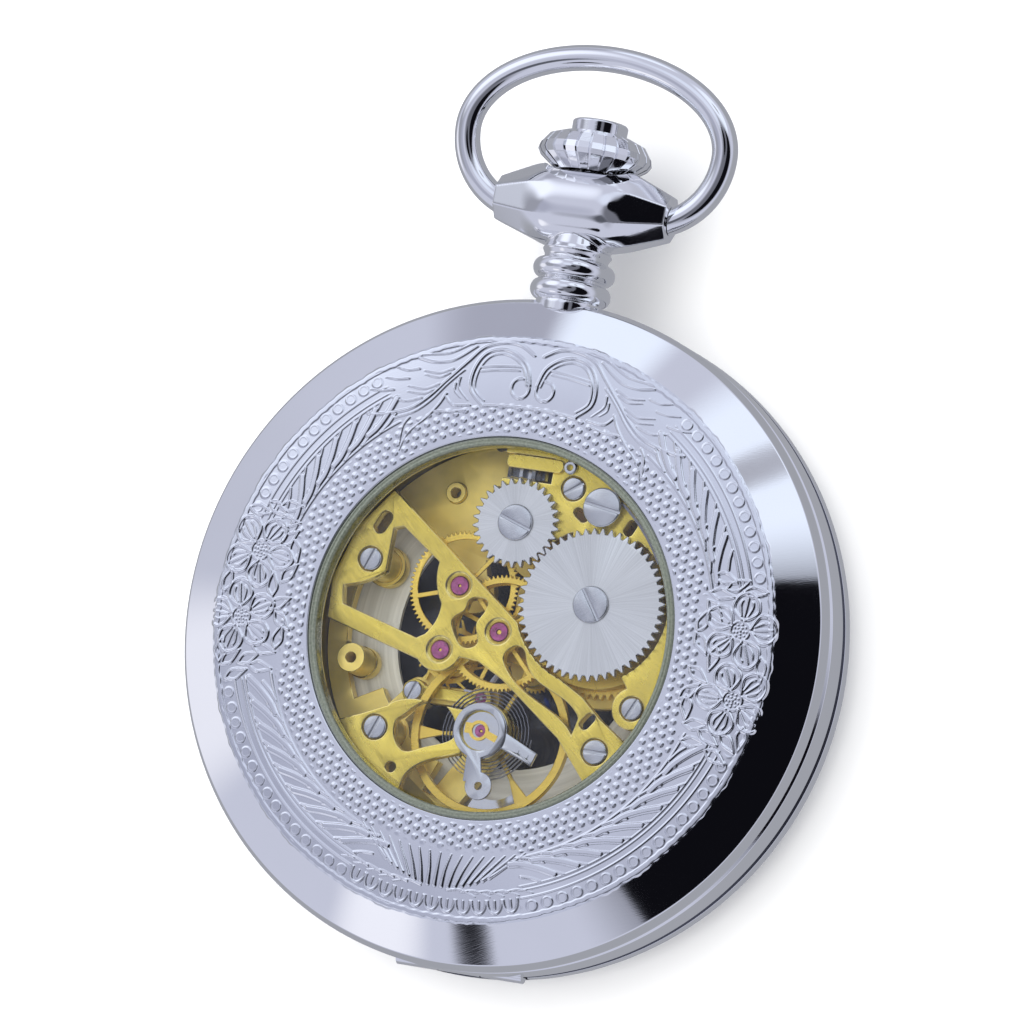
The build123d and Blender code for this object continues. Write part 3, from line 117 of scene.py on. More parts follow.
# ================================================================ material kit
class Shader:
    """A material with its Principled shader and short calls for the nodes that feed it."""

    def __init__(self, name, colour=(0.8, 0.8, 0.8), metallic=0.0, roughness=0.3, **sockets):
        self.material = bpy.data.materials.new(name)
        self.material.use_nodes = True
        self.tree = self.material.node_tree
        self.shader = self.tree.nodes["Principled BSDF"]
        self.set(self.shader, "Base Color", (*colour, 1))
        self.set(self.shader, "Metallic", metallic)
        self.set(self.shader, "Roughness", roughness)
        for socket, value in sockets.items():
            self.set(self.shader, socket.replace("_", " "), value)

    def set(self, node, socket, value):
        node.inputs[socket].default_value = value

    def link(self, out, node, socket):
        self.tree.links.new(out, node.inputs[socket])

    def node(self, kind, **properties):
        made = self.tree.nodes.new(kind)
        for key, value in properties.items():
            setattr(made, key, value)
        return made

    def place(self, scale=(1, 1, 1), centre=(0, 0, 0), turn=0.0):
        """Object coordinates in millimetres about a centre, turned about Z, then scaled."""
        coordinates = self.node("ShaderNodeTexCoord").outputs["Object"]
        mapping = self.node("ShaderNodeMapping", vector_type="TEXTURE")
        self.link(coordinates, mapping, "Vector")
        self.set(mapping, "Location", [c * MM for c in centre])
        self.set(mapping, "Rotation", (0, 0, turn * DEG))
        self.set(mapping, "Scale", [MM / s for s in scale])
        return mapping.outputs["Vector"]

    def polar(self, centre, around, along):
        """Coordinates that run round a centre and out from it, for turned and sunray marks."""
        place = self.place(centre=centre)
        split = self.node("ShaderNodeSeparateXYZ")
        self.link(place, split, "Vector")
        angle = self.math("ARCTAN2", split.outputs["Y"], split.outputs["X"])
        flat = self.node("ShaderNodeCombineXYZ")
        self.link(split.outputs["X"], flat, "X")
        self.link(split.outputs["Y"], flat, "Y")
        length = self.node("ShaderNodeVectorMath", operation="LENGTH")
        self.link(flat.outputs[0], length, 0)
        made = self.node("ShaderNodeCombineXYZ")
        self.link(self.math("MULTIPLY", angle, around), made, "X")
        self.link(self.math("MULTIPLY", length.outputs["Value"], along), made, "Y")
        return made.outputs[0]

    def math(self, operation, a, b=None, c=None):
        made = self.node("ShaderNodeMath", operation=operation)
        for index, value in enumerate((a, b, c)):
            if value is None:
                continue
            if isinstance(value, (int, float)):
                made.inputs[index].default_value = value
            else:
                self.tree.links.new(value, made.inputs[index])
        return made.outputs[0]

    def noise(self, where, detail=3.0, rough=0.5):
        made = self.node("ShaderNodeTexNoise")
        self.link(where, made, "Vector")
        self.set(made, "Scale", 1.0)
        self.set(made, "Detail", detail)
        self.set(made, "Roughness", rough)
        return made.outputs["Fac"]

    def spread(self, value, low, high, start=0.3, end=0.7):
        made = self.node("ShaderNodeMapRange")
        self.link(value, made, "Value")
        for socket, number in (("From Min", start), ("From Max", end), ("To Min", low), ("To Max", high)):
            self.set(made, socket, number)
        return made.outputs["Result"]

    def blend(self, factor, a, b):
        made = self.node("ShaderNodeMix", data_type="RGBA")
        self.tree.links.new(factor, made.inputs[0])
        for socket, value in ((6, a), (7, b)):
            if isinstance(value, (tuple, list)):
                made.inputs[socket].default_value = (*value, 1)
            else:
                self.tree.links.new(value, made.inputs[socket])
        return made.outputs[2]

    def bump(self, height, distance_mm, strength=1.0):
        made = self.node("ShaderNodeBump")
        self.link(height, made, "Height")
        self.set(made, "Distance", distance_mm * MM)
        self.set(made, "Strength", strength)
        self.link(made.outputs[0], self.shader, "Normal")

    def colour(self, out):
        self.link(out, self.shader, "Base Color")

    def mottle(self, value, a, b):
        """Base colour that follows a noise from one tone to the other."""
        self.colour(self.blend(self.spread(value, 0, 1), a, b))

    def roughness(self, out):
        self.link(out, self.shader, "Roughness")


def chrome(name, tint, roughness, mark=0.0006):
    """Polished plating with faint wipe marks and a slow cloudiness."""
    made = Shader(name, tint, 1.0, roughness)
    wipe = made.noise(made.place((1.2, 14, 3), turn=25), 4)
    cloud = made.noise(made.place((0.25, 0.25, 0.25)), 2)
    made.roughness(made.spread(cloud, roughness * 0.7, roughness * 1.5))
    made.colour(made.blend(cloud, [c * 0.97 for c in tint], tint))
    made.bump(wipe, mark)
    return made.material


def brushed(name, tint, roughness, turn=0.0, grain=0.006, dark=0.75, metallic=1.0):
    """Straight-grained metal: long fine scratches in one direction."""
    made = Shader(name, tint, metallic, roughness)
    grain_noise = made.noise(made.place((1.2, 30, 8), turn=turn), 5, 0.65)
    cloud = made.noise(made.place((0.5, 0.5, 0.5)), 3)
    made.mottle(grain_noise, [c * dark for c in tint], tint)
    made.roughness(made.spread(cloud, roughness * 0.8, roughness * 1.3))
    made.bump(grain_noise, grain)
    return made.material


def sunray(name, tint, roughness, centre, rays=46.0):
    """Metal brushed outwards from a centre, bright and dark in turn: the bump gives the radial grain, and the
    base colour is painted lighter and darker along rays and in broad sectors as painted reflection of the
    brushing.
    """
    made = Shader(name, tint, 0.85, roughness, Anisotropic=0.6)
    tangent = made.node("ShaderNodeTangent", direction_type="RADIAL", axis="Z")
    made.link(tangent.outputs[0], made.shader, "Tangent")
    # broad sectors and rays below are painted sheen: colour standing in for the bow-tie reflection of sunray
    # brushing
    painted_sheen_sector = made.noise(made.polar(centre, 1.3, 0.02), 2, 0.5)
    ray = made.noise(made.polar(centre, rays, 0.1), 6, 0.75)
    fine = made.noise(made.polar(centre, rays * 4, 0.3), 3, 0.6)
    rays_and_painted_sheen = made.math("ADD", made.math("MULTIPLY", ray, 0.6), made.math("MULTIPLY", fine, 0.4))
    rays_and_painted_sheen = made.math("ADD", made.math("MULTIPLY", rays_and_painted_sheen, 0.75), made.math("MULTIPLY", painted_sheen_sector, 0.25))
    # painted reflection: the base colour runs from 0.68 of the tint to the full tint along these rays and
    # sectors
    made.colour(made.blend(made.spread(rays_and_painted_sheen, 0, 1, 0.38, 0.62), [c * 0.68 for c in tint], tint))
    made.bump(rays_and_painted_sheen, 0.009)
    return made.material


def turned(name, tint, roughness, centre, rings=9.0):
    """Metal with fine lathe rings round a centre."""
    made = Shader(name, tint, 1.0, roughness)
    ring = made.noise(made.polar(centre, 0.2, rings), 4, 0.6)
    made.mottle(ring, [c * 0.82 for c in tint], tint)
    made.bump(ring, 0.006)
    return made.material


def frosted(name, tint, roughness, grain=0.02, metallic=1.0):
    """Fine-grained matt gilding."""
    made = Shader(name, tint, metallic, roughness)
    fine = made.noise(made.place((9, 9, 9)), 4, 0.7)
    cloud = made.noise(made.place((0.6, 0.6, 0.6)), 3)
    made.mottle(cloud, [c * 0.8 for c in tint], tint)
    made.bump(fine, grain)
    return made.material


def clear_glass(name):
    """Flat crystal: almost fully see-through, with a thin sharp reflection."""
    made = Shader(name, (1, 1, 1), 0.0, 0.02)
    tree = made.tree
    see = made.node("ShaderNodeBsdfTransparent")
    made.set(see, "Color", (0.985, 0.99, 0.985, 1))
    gloss = made.node("ShaderNodeBsdfGlossy")
    made.set(gloss, "Roughness", 0.02)
    smear = made.noise(made.place((0.3, 0.3, 0.3)), 3)
    mix = made.node("ShaderNodeMixShader")
    tree.links.new(made.spread(smear, 0.02, 0.05), mix.inputs[0])
    tree.links.new(see.outputs[0], mix.inputs[1])
    tree.links.new(gloss.outputs[0], mix.inputs[2])
    output = tree.nodes["Material Output"]
    tree.links.new(mix.outputs[0], output.inputs["Surface"])
    return made.material


SILVER = (0.93, 0.935, 0.955)
STEEL = (0.86, 0.87, 0.90)
GOLD = (0.97, 0.765, 0.15)
PALE_GOLD = (1.0, 0.82, 0.30)

CHROME = chrome("chrome_polished", SILVER, 0.045)
CHROME_ENGRAVED = chrome("chrome_engraved", (0.86, 0.88, 0.93), 0.15, 0.0015)
CHROME_INSIDE = turned("chrome_inside", (0.12, 0.125, 0.15), 0.25, (0, 0, 0), 3.2)
GOLD_BRUSHED = brushed("gold_brushed", GOLD, 0.24, turn=-42, grain=0.006, dark=0.6, metallic=0.74)
GOLD_EDGE = chrome("gold_edge", PALE_GOLD, 0.08)
GOLD_FROSTED = frosted("gold_frosted", (1.0, 0.78, 0.22), 0.36, 0.004, metallic=0.62)
GOLD_WHEEL = brushed("gold_wheel", (1.0, 0.72, 0.14), 0.24, turn=20, grain=0.003, metallic=0.75)
STEEL_EDGE = chrome("steel_edge", (0.55, 0.56, 0.60), 0.1)
STEEL_POLISHED = chrome("steel_polished", (0.83, 0.84, 0.86), 0.10)
STEEL_BRUSHED = brushed("steel_brushed", (0.74, 0.75, 0.79), 0.22, turn=60, grain=0.003)
STEEL_SCREW = brushed("steel_screw", (0.80, 0.81, 0.84), 0.16, turn=35, grain=0.002, dark=0.85)
SPRING_STEEL = brushed("spring_steel", (0.34, 0.34, 0.37), 0.25, grain=0.002)
# The movement ring's dark tone is painted shade, for the shadow between the bridges and the glass; its turned
# rings are real grain.
RING_PAINTED_SHADE = turned("ring_metal", (0.16, 0.15, 0.13), 0.3, (0, 0, 0), 6.0)
CROWN_METAL = chrome("crown_metal", SILVER, 0.05, 0.002)
GLASS = clear_glass("crystal_glass")


def ruby():
    made = Shader("ruby", (0.30, 0.02, 0.16), 0.0, 0.06, IOR=1.76, Coat_Weight=0.6, Coat_Roughness=0.03)
    fleck = made.noise(made.place((3, 3, 3)), 2)
    made.mottle(fleck, (0.11, 0.008, 0.055), (0.24, 0.035, 0.16))
    return made.material


def rubber():
    made = Shader("gasket_rubber", (0.16, 0.18, 0.15), 0.3, 0.14, Coat_Weight=0.5, Coat_Roughness=0.06)
    grain = made.noise(made.place((6, 6, 6)), 3)
    made.mottle(grain, (0.13, 0.15, 0.12), (0.22, 0.24, 0.20))
    made.bump(grain, 0.01)
    return made.material


def dial_paint():
    made = Shader("dial_paint", (0.70, 0.70, 0.66), 0.0, 0.3, Coat_Weight=0.3, Coat_Roughness=0.1)
    ring = made.noise(made.polar((0, 0, 0), 0.2, 2.6), 4, 0.6)
    made.mottle(ring, (0.52, 0.51, 0.47), (0.80, 0.79, 0.75))
    made.bump(ring, 0.02)
    return made.material


def blued_steel():
    made = Shader("blued_steel", (0.03, 0.06, 0.28), 1.0, 0.16)
    grain = made.noise(made.place((2, 20, 4)), 3)
    made.mottle(grain, (0.02, 0.04, 0.2), (0.05, 0.10, 0.4))
    return made.material


RUBY, RUBBER, DIAL_PAINT, BLUED = ruby(), rubber(), dial_paint(), blued_steel()


# ================================================================ mesh kit
SMOOTH_UNDER = 28         # degrees: faces that meet at less are shaded as one surface
FLAT_UNDER = 0.6          # degrees: CAD facets that meet at less are one flat face
BREAK_OVER = 40           # degrees: CAD edges that turn by this much or more are broken
WELD = 0.0005             # mm: points closer than this are one


def shade_smooth(data, smooth=True):
    data.polygons.foreach_set("use_smooth", [smooth] * len(data.polygons))


def add_piece(name, data, materials, body, replaces=()):
    """Link finished mesh data as a piece that rides a body."""
    for material in materials:
        data.materials.append(material)
    piece = link_object(name, data)
    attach(piece, body)
    if replaces:
        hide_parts(*replaces)
    return piece


def mesh_piece(name, points, faces, body, materials, replaces=(), face_materials=None, smooth=True):
    """A piece from millimetre points."""
    data = bpy.data.meshes.new(name)
    data.from_pydata((np.asarray(points, float) * MM).tolist(), [], faces)
    if face_materials is not None:
        data.polygons.foreach_set("material_index", np.asarray(face_materials, np.int32))
    shade_smooth(data, smooth)
    data.update()
    return add_piece(name, data, materials, body, replaces)


def grid_faces(rows, columns):
    """Quads between rings of points."""
    here = np.arange(rows * columns).reshape(rows, columns)
    after = np.roll(here, -1, axis=1)
    quads = np.stack([here[:-1], here[1:], after[1:], after[:-1]], axis=-1)
    return quads.reshape(-1, 4).tolist()


def capped_faces(rows, sides):
    """Quads of a closed tube with a flat face at each end."""
    last = (rows - 1) * sides
    caps = [list(range(sides - 1, -1, -1)), list(range(last, last + sides))]
    return grid_faces(rows, sides) + caps


def rounded(profile, radius):
    """The profile's corners turned into small arcs, with a support point each side of them."""
    points = [np.array(p, float) for p in profile]
    made = [points[0]]
    for before, here, after in zip(points, points[1:], points[2:]):
        back, ahead = before - here, after - here
        reach_back, reach_ahead = np.linalg.norm(back), np.linalg.norm(ahead)
        back, ahead = back / reach_back, ahead / reach_ahead
        cut = min(radius, 0.4 * reach_back, 0.4 * reach_ahead)
        start, end = here + back * cut, here + ahead * cut
        made.append(here + back * cut * 1.12)
        for t in np.linspace(0, 1, 6):
            made.append((1 - t) ** 2 * start + 2 * t * (1 - t) * here + t ** 2 * end)
        made.append(here + ahead * cut * 1.12)
    made.append(points[-1])
    return made


def lathe_points(profile, segments):
    """Points of a profile (radius, z) turned round the case axis."""
    turn = full_turn(segments)
    profile = np.asarray(profile, float)
    x = profile[:, :1] * np.sin(turn)[None, :]
    y = profile[:, :1] * np.cos(turn)[None, :]
    z = np.repeat(profile[:, 1:2], segments, axis=1)
    return as_points(x, y, z)


def finish_copy(name, mesh, materials):
    """Turn worked bmesh data into a piece that takes a CAD node's place."""
    data = bpy.data.meshes.new(name + "_eased")
    mesh.to_mesh(data)
    mesh.free()
    shade_smooth(data)
    data.set_sharp_from_angle(angle=SMOOTH_UNDER * DEG)
    return add_piece(name + "_eased", data, materials, nodes[name]["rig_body"], [name])


def copy_of(name):
    """The CAD node's mesh in the rest frame, welded and cleared of flat seams."""
    mesh = bmesh.new()
    mesh.from_mesh(nodes[name].data)
    mesh.transform(nodes[name].matrix_world)
    bmesh.ops.remove_doubles(mesh, verts=mesh.verts, dist=WELD * MM)
    bmesh.ops.dissolve_limit(mesh, angle_limit=FLAT_UNDER * DEG, verts=mesh.verts, edges=mesh.edges)
    return mesh


def sharp_edges(mesh, angle):
    """Edges between two faces that meet at this angle or more."""
    return [line for line in mesh.edges
            if len(line.link_faces) == 2 and line.calc_face_angle(0) >= angle * DEG]


def break_edges(mesh, lines, width, segments):
    """Bevel edges and give the new faces the piece's second material."""
    made = bmesh.ops.bevel(mesh, geom=lines, offset=width * MM, segments=segments, profile=0.5,
                           affect="EDGES", clamp_overlap=False)
    for face in made["faces"]:
        face.material_index = 1


def chamfered(name, material, edge, width, segments=2, shortest=0.0):
    """A CAD node with its sharp edges broken and the broken edges in a finish of their own."""
    mesh = copy_of(name)
    picked = [line for line in sharp_edges(mesh, BREAK_OVER) if line.calc_length() >= shortest * MM]
    break_edges(mesh, picked, width, segments)
    return finish_copy(name, mesh, [material, edge])


def apply_modifiers(piece):
    """Keep what the piece's modifiers make of it as plain mesh."""
    shaped = bpy.data.meshes.new_from_object(piece.evaluated_get(bpy.context.evaluated_depsgraph_get()))
    piece.modifiers.clear()
    piece.data = shaped


def melt(piece, voxel=0.06, passes=4):
    """Round every edge of a piece a little, as a casting polished all over."""
    remesh = piece.modifiers.new("remesh", "REMESH")
    remesh.mode = "VOXEL"
    remesh.voxel_size = voxel * MM
    smooth = piece.modifiers.new("smooth", "SMOOTH")
    smooth.iterations = passes
    apply_modifiers(piece)
    shade_smooth(piece.data)


def drum(centre, axis, radius, length, sides=48):
    """Points and faces of a plain cylinder, for cuts and knuckles."""
    mesh = bmesh.new()
    turn = Vector((0, 0, 1)).rotation_difference(Vector(axis)).to_matrix().to_4x4()
    bmesh.ops.create_cone(mesh, cap_ends=True, segments=sides, radius1=radius * MM, radius2=radius * MM,
                          depth=length * MM, matrix=Matrix.Translation(Vector(centre) * MM) @ turn)
    return mesh


def block(centre, size):
    mesh = bmesh.new()
    bmesh.ops.create_cube(mesh, size=1.0, matrix=Matrix.Translation(Vector(centre) * MM)
                          @ Matrix.Diagonal((*[v * MM for v in size], 1)))
    return mesh


def face_out(data):
    """Weld a closed mesh and turn its faces outwards."""
    mesh = bmesh.new()
    mesh.from_mesh(data)
    bmesh.ops.remove_doubles(mesh, verts=mesh.verts, dist=WELD * MM)
    bmesh.ops.recalc_face_normals(mesh, faces=mesh.faces)
    mesh.to_mesh(data)
    mesh.free()


def carve(piece, cuts, operation="DIFFERENCE"):
    """Take each cutter out of a piece, or add it, and keep the result as plain mesh."""
    face_out(piece.data)
    for cutter in cuts:
        data = bpy.data.meshes.new("cutter")
        cutter.to_mesh(data)
        cutter.free()
        tool = link_object("cutter", data)
        change = piece.modifiers.new("carve", "BOOLEAN")
        change.operation = operation
        change.solver = "EXACT"
        change.object = tool
        apply_modifiers(piece)
        bpy.data.objects.remove(tool)
    shade_smooth(piece.data)
    piece.data.set_sharp_from_angle(angle=SMOOTH_UNDER * DEG)


# ================================================================ floor, light and camera
CAMERA_AT = Vector((187.6, -51.7, 522.0)) * MM
CAMERA_AIM = Vector((-1.78, 8.92, 6.0)) * MM
CAMERA_UP = Vector((-0.131, 0.978, 0.163))
CAMERA_LENS = 273.8


def add_camera():
    camera = link_object("camera", bpy.data.cameras.new("camera"))
    camera.data.lens = CAMERA_LENS
    camera.data.sensor_width = 36
    camera.data.clip_start, camera.data.clip_end = 0.01, 10
    back = (CAMERA_AT - CAMERA_AIM).normalized()
    right = CAMERA_UP.cross(back).normalized()
    up = back.cross(right)
    turn = Matrix((right, up, back)).transposed().to_4x4()
    camera.matrix_world = Matrix.Translation(CAMERA_AT) @ turn
    bpy.context.scene.camera = camera


def add_floor():
    size, gap = 3.0, 0.01 * MM
    mesh = bpy.data.meshes.new("floor")
    corners = [(-size, -size, 0), (size, -size, 0), (size, size, 0), (-size, size, 0)]
    mesh.from_pydata(corners, [], [(0, 1, 2, 3)])
    floor = link_object("floor", mesh)
    floor.location.z = -gap
    paper = Shader("floor_paper", (0.93, 0.93, 0.93), 0.0, 0.9)
    grain = paper.noise(paper.place((0.2, 0.2, 0.2)), 3)
    paper.colour(paper.blend(grain, (0.92, 0.925, 0.925), (0.94, 0.94, 0.94)))
    mesh.materials.append(paper.material)
    floor.visible_glossy = False


class Sky(Shader):
    """The studio round the watch: a tent of pale cards, each a soft-edged disc of directions."""

    def __init__(self, base, strength):
        self.tree = bpy.context.scene.world.node_tree
        self.strength = strength
        self.direction = self.node("ShaderNodeTexCoord").outputs["Generated"]
        self.out = None
        self.base = base

    def disc(self, towards, inner, outer):
        """1 within the inner angle (degrees) of a direction, falling to 0 at the outer one."""
        unit = Vector(towards).normalized()
        dot = self.node("ShaderNodeVectorMath", operation="DOT_PRODUCT")
        self.link(self.direction, dot, 0)
        dot.inputs[1].default_value = unit
        made = self.node("ShaderNodeMapRange", interpolation_type="SMOOTHSTEP")
        self.link(dot.outputs["Value"], made, "Value")
        self.set(made, "From Min", cos(outer))
        self.set(made, "From Max", cos(inner))
        return made.outputs["Result"]

    def paint(self, factor, colour):
        self.out = self.blend(factor, self.out or self.base, colour)

    def finish(self):
        background = self.tree.nodes["Background"]
        self.link(self.out, background, "Color")
        self.set(background, "Strength", self.strength)


LILAC = (0.58, 0.60, 0.72)            # the tent itself
WHITE = (0.88, 0.95, 1.10)
BLACK = (0.004, 0.004, 0.006)
UNDER = (0.36, 0.37, 0.41)
SHADE = (0.16, 0.165, 0.20)
FLAT_MIRROR = (-0.342, 0.110, 0.933)  # what the flat faces show to the camera
FLAG = (0.524, -0.180, 0.832)         # black flag that darkens the bevel from 3 to 5 o'clock

# Cards in the order they are hung: direction, inner and outer angle, colour
CARDS = (
    ((0, 0, -1), 78, 98, UNDER),                                # pale grey below the horizon
    ((-0.8, 0.05, 0.6), 14, 24, (0.33, 0.34, 0.40)),            # grey on the bow and the beads
    ((-0.97, -0.12, 0.15), 6, 16, (0.86, 0.87, 0.96)),          # left bevel, 9 o'clock
    ((-0.52, -0.72, 0.44), 4, 11, (0.92, 0.93, 1.02)),          # left bevel, 7 o'clock
    ((-0.45, 0.85, 0.26), 4, 14, (0.40, 0.41, 0.50)),           # left bevel, 11 o'clock
    ((0.444, 0.661, 0.605), 15, 24, WHITE),                     # right bevel, 1 to 2 o'clock
    ((-0.15, 0.93, 0.33), 6, 12, WHITE),                        # bevel beside the neck
    ((0.39, 0.70, 0.60), 2.5, 5.5, (0.42, 0.43, 0.50)),         # grey stripe inside the white card
    (FLAG, 28, 47, SHADE),                                      # soft edge of the flag
    ((-0.60, 0.45, 0.66), 10, 26, (1.0, 1.05, 1.2)),            # bright side of the relief
    ((-0.06, 0.36, 0.93), 5, 17, (0.74, 0.79, 0.94)),           # upper right of the engraved ring
    ((-0.52, -0.16, 0.84), 4, 17, (0.40, 0.415, 0.52)),         # lower left of the engraved ring
    ((-0.16, -0.40, 0.90), 5, 13, (0.10, 0.105, 0.13)),         # dark streak on the pendant's barrel
    ((0.228, 0.149, 0.962), 6, 10, BLACK),                      # the barrel's right-hand facet
)
LOW_FLAG = (-0.25, -0.80, 0.545)      # small black card that darkens the bevel at 6 o'clock
LAMP_PLACE, LAMP_SIZE, LAMP_WATTS = (-0.1, 0.15, 0.8), 1.6, 19.0
LAMP_COLOUR = (1, 0.985, 0.93)


def add_studio():
    scene = bpy.context.scene
    scene.world = bpy.data.worlds.new("studio")
    scene.world.use_nodes = True
    sky = Sky(LILAC, 1.0)
    for towards, inner, outer, colour in CARDS:
        sky.paint(sky.disc(towards, inner, outer), colour)
    # The flag stops short of what the walls of the relief show, so that they stay grey
    clear = sky.math("SUBTRACT", 1.0, sky.disc(FLAT_MIRROR, 50, 55))
    sky.paint(sky.math("MULTIPLY", sky.disc(FLAG, 35.5, 37), clear), BLACK)
    sky.paint(sky.disc(LOW_FLAG, 3.5, 6), BLACK)
    sky.finish()
    lamp = bpy.data.lights.new("overhead", "AREA")
    lamp.energy = LAMP_WATTS
    lamp.size = LAMP_SIZE
    lamp.color = LAMP_COLOUR
    holder = link_object("overhead", lamp)
    holder.location = LAMP_PLACE
    holder.visible_glossy = False


# ================================================================ engraved ring of the back cover
COLUMNS = 2000            # points round the cover
DOME_START = 14.3         # the flat by the window ends here
DOME_DROP = 0.35          # fall of the dome from the window to the bevel
BEVEL = ((20.8, 10.85), (22.95, 9.5))
RELIEF = 0.065            # height of a raised line
WALL = 0.11               # width of the slope at its side
STROKE = 0.25             # width of a raised line
SCROLL_R = 18.6           # middle radius of the ornament band
BEAD_R, BEADS = 19.95, 110
FEATHER_R = 17.5
FLOWER_LEAN = 1.3         # degrees that the side flowers sit below the middle
FLOWER_HALF = 17.0        # degrees that a pair of flowers takes up on each side of its middle
PALM_AT, PALM_HALF = 182, 19
SCROLL_HALF = 34          # degrees that the scroll ornament takes up on each side of 12 o'clock
STIPPLE_EDGE = 16.15      # outer radius of the dotted ground
FADE = (20.9, 21.08)      # radii between which the relief dies out on the bevel


def smooth_step(low, high, value):
    t = np.clip((value - low) / (high - low), 0, 1)
    return t * t * (3 - 2 * t)


def curve_through(points, steps=10):
    """Smooth curve through control points."""
    control = np.array([points[0], *points, points[-1]], float)
    made = []
    for before, a, b, after in zip(control, control[1:], control[2:], control[3:]):
        for t in np.arange(steps) / steps:
            made.append(
                0.5 * (2 * a + (b - before) * t + (2 * before - 5 * a + 4 * b - after) * t ** 2
                       + (3 * a - before - 3 * b + after) * t ** 3)
            )
    made.append(control[-2])
    return np.array(made)


def wall_section(gap, half):
    """1 on the flat top of a raised shape, falling to 0 over the wall at its side."""
    return smooth_step(0, 1, (half - gap) / np.minimum(WALL, half))


class Relief:
    """Heights over a polar grid. Each motif is drawn in its own flat frame: u clockwise, v outwards."""

    def __init__(self, radius, angle):
        self.radius, self.angle = radius, angle
        self.height = np.zeros_like(radius)

    def lay(self, height):
        """Raise the whole surface to a field of heights."""
        self.height = np.maximum(self.height, height)

    def raise_to(self, where, height):
        self.height[where] = np.maximum(self.height[where], height)

    def frame(self, angle, radius=SCROLL_R):
        swing = (self.angle - angle + 180) % 360 - 180
        return swing * DEG * radius, self.radius - radius

    def stroke(self, frame, points, width=STROKE, height=RELIEF, mirror=False, taper=False):
        """A raised line along a path, rounded in section, that can thin out to its end."""
        u, v = frame
        path = curve_through(points)
        if mirror:
            path = path * (-1, 1)
        low, high = path.min(0) - width, path.max(0) + width
        near = np.nonzero((u > low[0]) & (u < high[0]) & (v > low[1]) & (v < high[1]))
        if not len(near[0]):
            return
        spot = np.stack([u[near], v[near]], axis=-1)
        best = np.full(len(spot), 1e9)
        share = np.zeros(len(spot))
        count = len(path) - 1
        for index, (a, b) in enumerate(zip(path, path[1:])):
            along = b - a
            t = np.clip((spot - a) @ along / max(along @ along, 1e-9), 0, 1)
            gap = np.linalg.norm(spot - a - t[:, None] * along, axis=1)
            closer = gap < best
            best[closer] = gap[closer]
            share[closer] = (index + t[closer]) / count
        half = width / 2 * (1 - 0.75 * share if taper else np.ones_like(share))
        self.raise_to(near, height * wall_section(best, half))

    def ring(self, frame, centre, radius, width=STROKE, height=RELIEF):
        u, v = frame
        gap = np.abs(np.hypot(u - centre[0], v - centre[1]) - radius)
        near = np.nonzero(gap < width / 2)
        self.raise_to(near, height * wall_section(gap[near], width / 2))

    def dot(self, frame, centre, radius, height=RELIEF):
        u, v = frame
        gap = np.hypot(u - centre[0], v - centre[1])
        near = np.nonzero(gap < radius)
        self.raise_to(near, height * wall_section(gap[near], radius))


def stipple(relief, keep):
    """Raised dots on a square diagonal lattice over the inner band."""
    step_x, step_y, dot = 0.667, 0.333, 0.26
    x = relief.radius * np.sin(relief.angle * DEG)
    y = relief.radius * np.cos(relief.angle * DEG)
    column, row = np.round(x / step_x), np.round(y / step_y)
    height = np.zeros_like(x)
    for shift_x in (-1, 0, 1):
        for shift_y in (-1, 0, 1):
            i, j = column + shift_x, row + shift_y
            gap = np.hypot(x - i * step_x, y - j * step_y) / dot
            bump = np.clip(1 - gap ** 2, 0, 1) * ((i + j) % 2 == 0)
            height = np.maximum(height, bump)
    relief.lay(height * keep * RELIEF * 0.8)


def circle_line(relief, radius, keep, width=STROKE, height=RELIEF):
    section = wall_section(np.abs(relief.radius - radius), width / 2)
    relief.lay(height * keep * section)


def beads(relief, keep):
    """Flat-topped discs in a row, as a string of beads."""
    pitch = 360 / BEADS
    swing = ((relief.angle / pitch) - np.round(relief.angle / pitch)) * pitch * DEG * BEAD_R
    gap = np.hypot(swing, relief.radius - BEAD_R)
    outline = wall_section(np.abs(gap - 0.36), 0.08)
    bead = 0.45 * outline + 0.35 * wall_section(gap, 0.4)
    relief.lay(bead * RELIEF * keep)


def feather(relief, angle, mirror):
    """A long and a short finger, slanting in from the outer line."""
    frame = relief.frame(angle, FEATHER_R)
    relief.stroke(frame, [(1.6, -0.62), (0.7, -0.5), (-0.5, 0.05), (-1.45, 0.72)], 0.5, RELIEF * 1.3, mirror)
    relief.stroke(frame, [(0.75, -0.95), (-0.15, -0.72), (-0.95, -0.3)], 0.26, RELIEF * 1.1, mirror)
    relief.stroke(frame, [(0.9, 0.35), (0.2, 0.6), (-0.35, 0.95)], 0.24, RELIEF * 1.1, mirror)


def petal(relief, frame, centre, turn, length, width):
    """A raised petal with cut veins that points away from the flower's centre."""
    direction = np.array([cos(turn), sin(turn)])
    across = np.array([-direction[1], direction[0]])

    def at(along, side):
        return np.array(centre) + direction * along + across * side

    start = 0.78
    outline = [at(start, -0.12), at(start + 0.35 * length, -width), at(start + 0.8 * length, -0.8 * width),
               at(start + length, 0), at(start + 0.8 * length, 0.8 * width), at(start + 0.35 * length, width),
               at(start, 0.12)]
    relief.stroke(frame, outline, 0.28, RELIEF * 1.6)
    for side in (-0.5, 0, 0.5):
        tip = start + (0.82 - 0.25 * abs(side)) * length
        relief.stroke(frame, [at(start + 0.25, side * 0.5 * width), at(start + 0.5 * length, side * width),
                              at(tip, side * 0.85 * width)], 0.22, RELIEF * 1.2)


def leaf(relief, angle, radius, turn, length=1.75, width=0.72):
    """A small pointed leaf that fills the ground between larger motifs."""
    frame = relief.frame(angle, radius)
    way = np.array([cos(turn), sin(turn)])
    for side in (1, -1):
        belly = way * -0.1 * length + np.array([-way[1], way[0]]) * side * width / 2
        relief.stroke(frame, [way * -length / 2, belly, way * length / 2], 0.24, RELIEF * 1.4)


